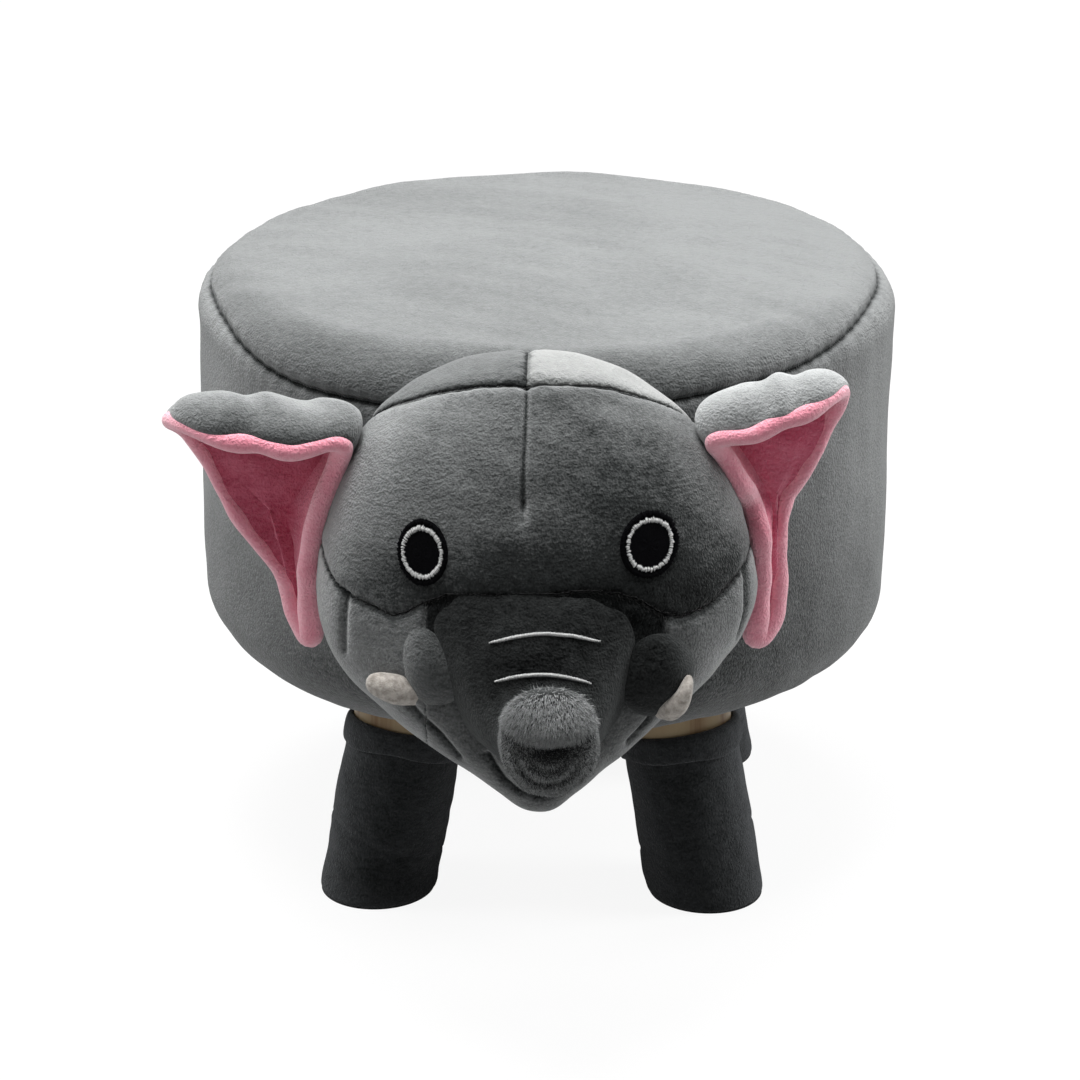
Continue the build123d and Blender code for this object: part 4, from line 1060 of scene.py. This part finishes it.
# %% Ear surfaces
# Round the left ear from the tip: outline x and z, radius of the bend, its turn in degrees, the flap after it and
# half the thickness; the right ear is listed in the same way and mirrored
EAR_STATIONS = {
    "left": [
        (-131, 234, 7, 125, 0, 2.8), (-126, 240, 11, 160, 0.5, 3.1), (-115, 242, 13.5, 168, 1.5, 3.3),
        (-98, 242, 14, 168, 1.5, 3.4), (-81, 240, 14.5, 168, 2, 3.4), (-65, 237, 13, 155, 2, 3.3),
        (-70, 222, 14, 115, 1, 3.3), (-76.5, 206, 15, 98, 0, 3.4), (-81, 188, 14, 92, 0, 3.6),
        (-83, 170, 10, 85, 1, 4.0), (-83, 149, 7, 75, 2, 4.6), (-88, 155.5, 6, 60, 1, 4.4), (-91.5, 167, 5, 42, 0, 3.3),
        (-98.5, 177, 5, 32, 0, 2.8), (-108, 188.5, 5, 28, 0, 2.8), (-115.5, 203, 5, 28, 0, 2.8),
        (-121, 216.5, 5, 32, 0, 2.8), (-127, 227, 5, 70, 0, 2.8),
    ],
    "right": [
        (-109.5, 246, 6, 120, 0, 2.8), (-105, 251, 10, 158, 0.5, 3.1), (-97, 251, 12, 165, 1.5, 3.3),
        (-86, 250, 13, 168, 1.5, 3.4), (-74, 246, 13.5, 168, 2, 3.4), (-61, 238, 12, 155, 2, 3.3),
        (-69, 223, 12, 115, 1, 3.4), (-77, 206, 12, 98, 0, 3.7), (-82, 190, 11, 92, 0, 3.8),
        (-82.5, 172, 9, 85, 0, 3.8), (-81.5, 149.5, 7, 75, 1, 4.2), (-88, 155.5, 6, 60, 0, 3.8),
        (-89.5, 172, 5, 40, 0, 3.0), (-89.7, 189, 5, 32, 0, 2.8), (-92.5, 199.5, 5, 30, 0, 2.8),
        (-98, 211, 5, 30, 0, 2.8), (-103, 223, 5, 32, 0, 2.8), (-107.5, 236, 5, 65, 0, 2.8),
    ],
}
EAR_MIDDLE = {"left": (-97, 197), "right": (-88, 206)}
EAR_BACK, EAR_COLUMNS, EAR_ROWS, RIM_INSET = -153.6, 260, 100, 2.5
CREASE_LENGTH, CREASE_DEPTH, EAR_WAVE, BEAD_EXTRA, BEAD_COLUMNS = 3.9, 0.8, 0.8, 0.5, 36


def ear_sheet(side):
    """The middle of the leaf: in each direction a straight run, an arc and a short flap, from the middle to the rim."""
    stations = np.array(EAR_STATIONS[side], float)
    wrapped = np.concatenate([stations[-2:], stations, stations[:3]])
    dense = smooth_rows(wrapped, (len(wrapped) - 1) * 40 + 1)[80:-80]
    place = np.linspace(0, 1, EAR_COLUMNS + 1)[:-1]
    x, z, bend, turn, flap, half = (np.interp(place, np.linspace(0, 1, len(dense)), dense[:, k]) for k in range(6))
    turn = np.radians(turn)
    middle = np.array(EAR_MIDDLE[side])
    away = np.stack([x, z], -1) - middle
    reach = np.linalg.norm(away, axis=1)
    away /= reach[:, None]
    bend = np.minimum(bend, 0.85 * reach)
    straight = reach - bend * np.where(turn > np.pi / 2, 1, np.sin(turn))
    total = straight + bend * turn + flap
    run = np.linspace(0, 1, EAR_ROWS)[:, None] * total[None, :]
    bent = np.clip(run - straight, 0, bend * turn) / bend
    past = np.clip(run - straight - bend * turn, 0, None)
    out = np.minimum(run, straight) + bend * np.sin(bent) + past * np.cos(turn)
    forward = bend * (1 - np.cos(bent)) + past * np.sin(turn)
    grid = xyz(middle[0] + out * away[:, 0], EAR_BACK - forward, middle[1] + out * away[:, 1])
    inwards = xyz(-np.sin(bent) * away[:, 0], -np.cos(bent), -np.sin(bent) * away[:, 1])
    return grid, inwards, run, total, half


def ear_layers(side, seed):
    """Grey layer, pink lining and the rolled rim: the leaf moved along its normal, and a tube that follows its edge."""
    grid, normal, run, total, half = ear_sheet(side)
    creases = np.sin(grid[..., 0] / CREASE_LENGTH + 2 * wander(grid, 30, seed)) * smooth_step(grid[..., 2], 225, 240)
    grid[..., 1] += EAR_WAVE * wander(grid, 28, seed) * smooth_step(run / total, 0, 0.3)
    across = row_normals(grid)
    across *= np.sign((across * normal).sum(-1))[..., None]
    normal = unit(normal + (across - normal) * smooth_step(run / total, 0.15, 0.5)[..., None])
    rim = np.sqrt(1 - (1 - np.clip((total - run - 2) / 4, 0, 1)) ** 2)
    grey = np.maximum(half * rim + CREASE_DEPTH * creases * rim, 0)
    lining = half * rim * 0.9 + 0.25 * wander(grid, 12, seed + 1) * rim
    row = (1 - RIM_INSET / total) * (EAR_ROWS - 1)
    low, column = row.astype(int), np.arange(EAR_COLUMNS)
    part = (row - low)[:, None]
    path = grid[low, column] * (1 - part) + grid[low + 1, column] * part
    upright = normal[low, column]
    across = np.cross(np.roll(path, -1, axis=0) - np.roll(path, 1, axis=0), upright)
    across = unit(across * np.sign((across * (grid[-1] - grid[-4])).sum(-1))[:, None])
    stout = (half + BEAD_EXTRA + 0.35 * wander(path, 14, seed + 2))[:, None, None]
    angle = turns(BEAD_COLUMNS)[None, :, None]
    bead = np.cos(angle) * across[:, None] * stout * 0.9 + np.sin(angle) * upright[:, None] * stout
    bead += path[:, None]
    return (
        np.concatenate([grid - normal * grey[..., None], grid[::-1]]),
        np.concatenate([grid + normal * lining[..., None], grid[::-1]]),
        np.concatenate([bead, bead[:1]]),
    )


def close_outwards(mesh):
    """Turns a closed mesh's faces outwards: its signed volume is positive then."""
    with editing(mesh) as shape:
        inside_out = shape.calc_volume(signed=True) < 0
    if inside_out:
        mesh.flip_normals()
    return mesh


for index, (side, mirror) in enumerate((("left", 1), ("right", -1))):
    layers = ear_layers(side, 81 + 3 * index)
    # The left ear's grey and lining are copies in painted shade, and the rim's lighter pink is painted light.
    for layer, grid, finish, slot, node in (
        ("outer", layers[0], left_ear_shaded_grey if side == "left" else ear_grey, "plush_mid_grey", "ear_"),
        ("lining", layers[1], pink if side == "left" else pale_pink, "plush_pink", "ear_lining_"),
        ("rim", layers[2], lit_rim_pink, "plush_pink", "ear_lining_"),
    ):
        mesh = close_outwards(make_mesh("ear_" + side + "_" + layer, grid * (mirror, 1, 1)))
        add_piece(mesh, finish, "ear_" + side, (node + side,))

# %% [markdown]
# ## Socks
# Each leg wears a charcoal plush sock: a tube with a flat sole, a curved seam above it and a cuff turned over once.
# Its profile runs from the middle of the sole, up the outside, over the cuff and down inside against the wood.
# Cloth pulled over a leg is never a perfect tube, so it bulges and wrinkles a little, most at the cuff.

# %% Sock surfaces
FOOT_CIRCLE, SOCK_HEIGHT, CUFF_HEIGHT, LEG_RADIUS = 95.0, 70.0, 9.0, 21.4
CLOTH, SOCK_WALL, SOLE_ROUND, SOCK_COLUMNS = 2.1, 2.0, 2.5, 150
SOLE_SEAM_HEIGHT, SOLE_SEAM_SWING, SOLE_SEAM_DEPTH, SOLE_SEAM_WIDTH = 24, 5, 0.5, 1.1
# How far the cuff's profile lies outside the sock and above the cuff's lower edge
CUFF = [(0.2, -0.5), (1.3, -1.2), (1.9, 0.3), (2.0, 3.0), (1.9, 6.5), (1.2, 8.8), (-0.4, 9.6), (-1.6, 9.0), (-2.0, 7.0)]


def sock_surface(azimuth, seed):
    """Rows of a profile of radius and height along the leg, carried round it; the sole's rows lie on the floor."""
    turn = math.radians(azimuth)
    outward = np.array([math.cos(turn), math.sin(turn), 0])
    along = -outward * math.sin(LEG_LEAN) + np.array([0, 0, math.cos(LEG_LEAN)])
    sideways = np.array([-math.sin(turn), math.cos(turn), 0])
    radial = np.cross(along, sideways)
    angle = turns(SOCK_COLUMNS)[None, :]
    circle = np.cos(angle)[..., None] * sideways + np.sin(angle)[..., None] * radial
    foot = outward * FOOT_CIRCLE
    outer = LEG_RADIUS + CLOTH
    cuff_low = SOCK_HEIGHT - CUFF_HEIGHT
    rows = [(outer * share, 0.0, 0.0) for share in np.linspace(0, 0.97, 14)]
    for bend in np.linspace(0.2, 1, 6) * math.pi / 2:
        rows.append((outer - SOLE_ROUND * (1 - math.sin(bend)), SOLE_ROUND * (1 - math.cos(bend)), 0.0))
    rows += [(outer + 0.1, height, 0.0) for height in np.linspace(4, cuff_low, 46)]
    rows += [(outer + out, cuff_low + up, 1.0) for out, up in smooth_rows(CUFF, 28)]
    rows += [(outer - SOCK_WALL, height, 0.0) for height in np.linspace(cuff_low + 5, 6, 12)]
    rows.append((0.0, 5.0, 0.0))
    radius, height, on_cuff = (np.array(rows)[:, k : k + 1] for k in range(3))
    lowest = -radius * (circle @ np.array([0, 0, 1])) / math.cos(LEG_LEAN)
    blend = smooth_step(height, 0, 12)
    lift = lowest * (1 - blend) + height
    points = foot + radius[..., None] * circle + lift[..., None] * along
    body = smooth_step(height, 3, 12) * (radius > outer - 1)
    wave = stuffing(points, seed, (0.45, 45), (0.12, 9))
    sole_seam = SOLE_SEAM_HEIGHT + SOLE_SEAM_SWING * np.cos(angle + seed)
    wave -= SOLE_SEAM_DEPTH * hump(height - sole_seam, SOLE_SEAM_WIDTH) * (1 - on_cuff)
    points = points + (np.clip(wave, -1.4, 0.9) * body)[..., None] * circle
    sway = (0.9 * np.sin(2 * angle + seed) + 0.5 * np.sin(5 * angle)) * on_cuff * (radius > outer)
    points = points + (sway * (1 - smooth_step(height, cuff_low, cuff_low + 7)))[..., None] * along
    points[..., 2] = np.maximum(points[..., 2], 0.05)
    return points


for index, (corner, azimuth) in enumerate(LEG_TURNS.items()):
    mesh = close_outwards(make_mesh("sock_" + corner + "_plush", sock_surface(azimuth, 91 + 5 * index)))
    add_piece(mesh, charcoal, "sock_" + corner, ("sock_" + corner,))

# %% [markdown]
# ## Tail and underside
# The tail is a thin stuffed tube that hangs against the back of the drum and ends in a fuller dark tuft. Under the
# seat a black sheet of spunbonded cloth hides the base board, stretched over it and stapled through the hem.

# %% Tail
TAIL_RADIUS, TAIL_END_RADIUS, TAIL_Y, TAIL_ROOT, TAIL_COLUMNS = 5.3, 4.7, 145.9, 205, 60
TUFT_RADIUS, TUFT_ROWS, TUFT_COLUMNS, STRANDS = 8.8, 70, 84, 14
round_end = np.linspace(0, np.pi / 2, 16)
root_line = xyz(0, TAIL_Y, TAIL_ROOT + TAIL_RADIUS * np.cos(round_end))
tail_points = [(0, TAIL_Y, TAIL_ROOT), (0.5, 146.4, 185), (-0.5, 147.5, 165), (0.2, 148.3, 145), (0, 149.3, 127)]
tail_line = np.concatenate([root_line, smooth_rows(tail_points, 80)[1:]])
tail_radii = np.concatenate([TAIL_RADIUS * np.sin(round_end), np.linspace(TAIL_RADIUS, TAIL_END_RADIUS, 79)])
tail_radii[-1] = 0
tail_mesh = make_mesh("tail_plush", rod(tail_line, tail_radii, TAIL_COLUMNS))
# The tail shares the wall's plush, with its painted shade darker towards the bottom.
add_piece(tail_mesh, side_grey, "tail", ("tail",))
tuft_line = smooth_rows([(0, 149.2, 131), (0, 149.3, 120), (0.5, 149.3, 110), (0, 149, 99)], TUFT_ROWS)
share = np.linspace(0, 1, TUFT_ROWS)
tuft_grid = rod(tuft_line, TUFT_RADIUS * np.sin(np.pi * share**0.75) ** 0.7, TUFT_COLUMNS)
strands = np.sin(turns(TUFT_COLUMNS) * STRANDS)[None, :, None] * (0.5 * np.sin(np.pi * share))[:, None, None]
tuft_grid += strands * (tuft_grid - tuft_line[:, None]) / 8
add_piece(make_mesh("tail_tuft_plush", tuft_grid), charcoal, "tail", ("tail_tuft",))

# %% Dust cover
DUST_RADIUS, DUST_BOTTOM, DUST_THICKNESS, DUST_RINGS, DUST_COLUMNS = 106.0, 90.4, 0.5, 60, 240
share, angle = np.linspace(0, 1, DUST_RINGS)[:, None], turns(DUST_COLUMNS)[None, :]
radius = DUST_RADIUS * share
flat = xyz(radius * np.cos(angle), radius * np.sin(angle), 0)
sag = DUST_BOTTOM + 0.25 * wander(flat, 45, 111) * (1 - share**4)
lower = flat + sag[..., None] * (0, 0, 1)
upper = (lower + np.array([0, 0, DUST_THICKNESS]))[::-1]
dust_mesh = make_mesh("dust_cover_sheet", np.concatenate([lower, upper]))
dust = add_piece(dust_mesh, nonwoven, "seat", ("dust_cover",))

# %% [markdown]
# ## Studio
# The backdrop is plain white for the camera and for reflections only, so it puts little light on the plush. The floor
# is a large pale plane. Camera rays see it mixed with plain white, so it ends white and keeps a faint shadow.

# %% Floor and world
def larger(tree, first, second):
    """The larger of two values."""
    return add_node(tree, "Math", {0: first, 1: second}, operation="MAXIMUM")


def seen_rays(tree):
    """1 for the camera's rays and for reflections, 0 for the light that falls on things."""
    camera_rays, reflections = (add_node(tree, "LightPath", out=f"Is {kind} Ray") for kind in ("Camera", "Glossy"))
    return larger(tree, camera_rays, reflections)


world = bpy.data.worlds.new("studio")
bpy.context.scene.world = world
world.use_nodes = True
tree = world.node_tree
seen = larger(tree, seen_rays(tree), add_node(tree, "LightPath", out="Is Transmission Ray"))
background = tree.nodes["Background"]
background.inputs["Color"].default_value = (1, 1, 1, 1)
tree.links.new(map_range(tree, seen, 0, 1, 0.16, 1.0), background.inputs["Strength"])

FLOOR_SIDE = 6000
corners = np.array([(-1, -1, 0), (1, -1, 0), (1, 1, 0), (-1, 1, 0)], float) * FLOOR_SIDE
floor = new_object("floor", new_mesh("floor", corners, np.array([(0, 1, 2, 3)])))
floor_paint = bpy.data.materials.new("white studio floor")
floor_paint.use_nodes = True
tree = floor_paint.node_tree
tree.nodes.remove(tree.nodes["Principled BSDF"])
matte = add_node(tree, "BsdfDiffuse", {"Color": linear("#a8a8a8")})
shade = add_node(tree, "BsdfDiffuse", {"Color": (0.1, 0.1, 0.1, 1)})
place = add_node(tree, "TexCoord", out="Object")
away = add_node(tree, "VectorMath", {0: place}, out="Value", operation="LENGTH")
bright = map_range(tree, away, 0.4, 2.2, 0.91, 1.0)
glow = add_node(tree, "Emission", {"Color": (1, 1, 1, 1), "Strength": bright})
white = add_node(tree, "AddShader", {0: shade, 1: glow})
mixed = add_node(tree, "MixShader", {0: seen_rays(tree), 1: matte, 2: white})
tree.links.new(mixed, tree.nodes["Material Output"].inputs["Surface"])
paint(floor.data, floor_paint)
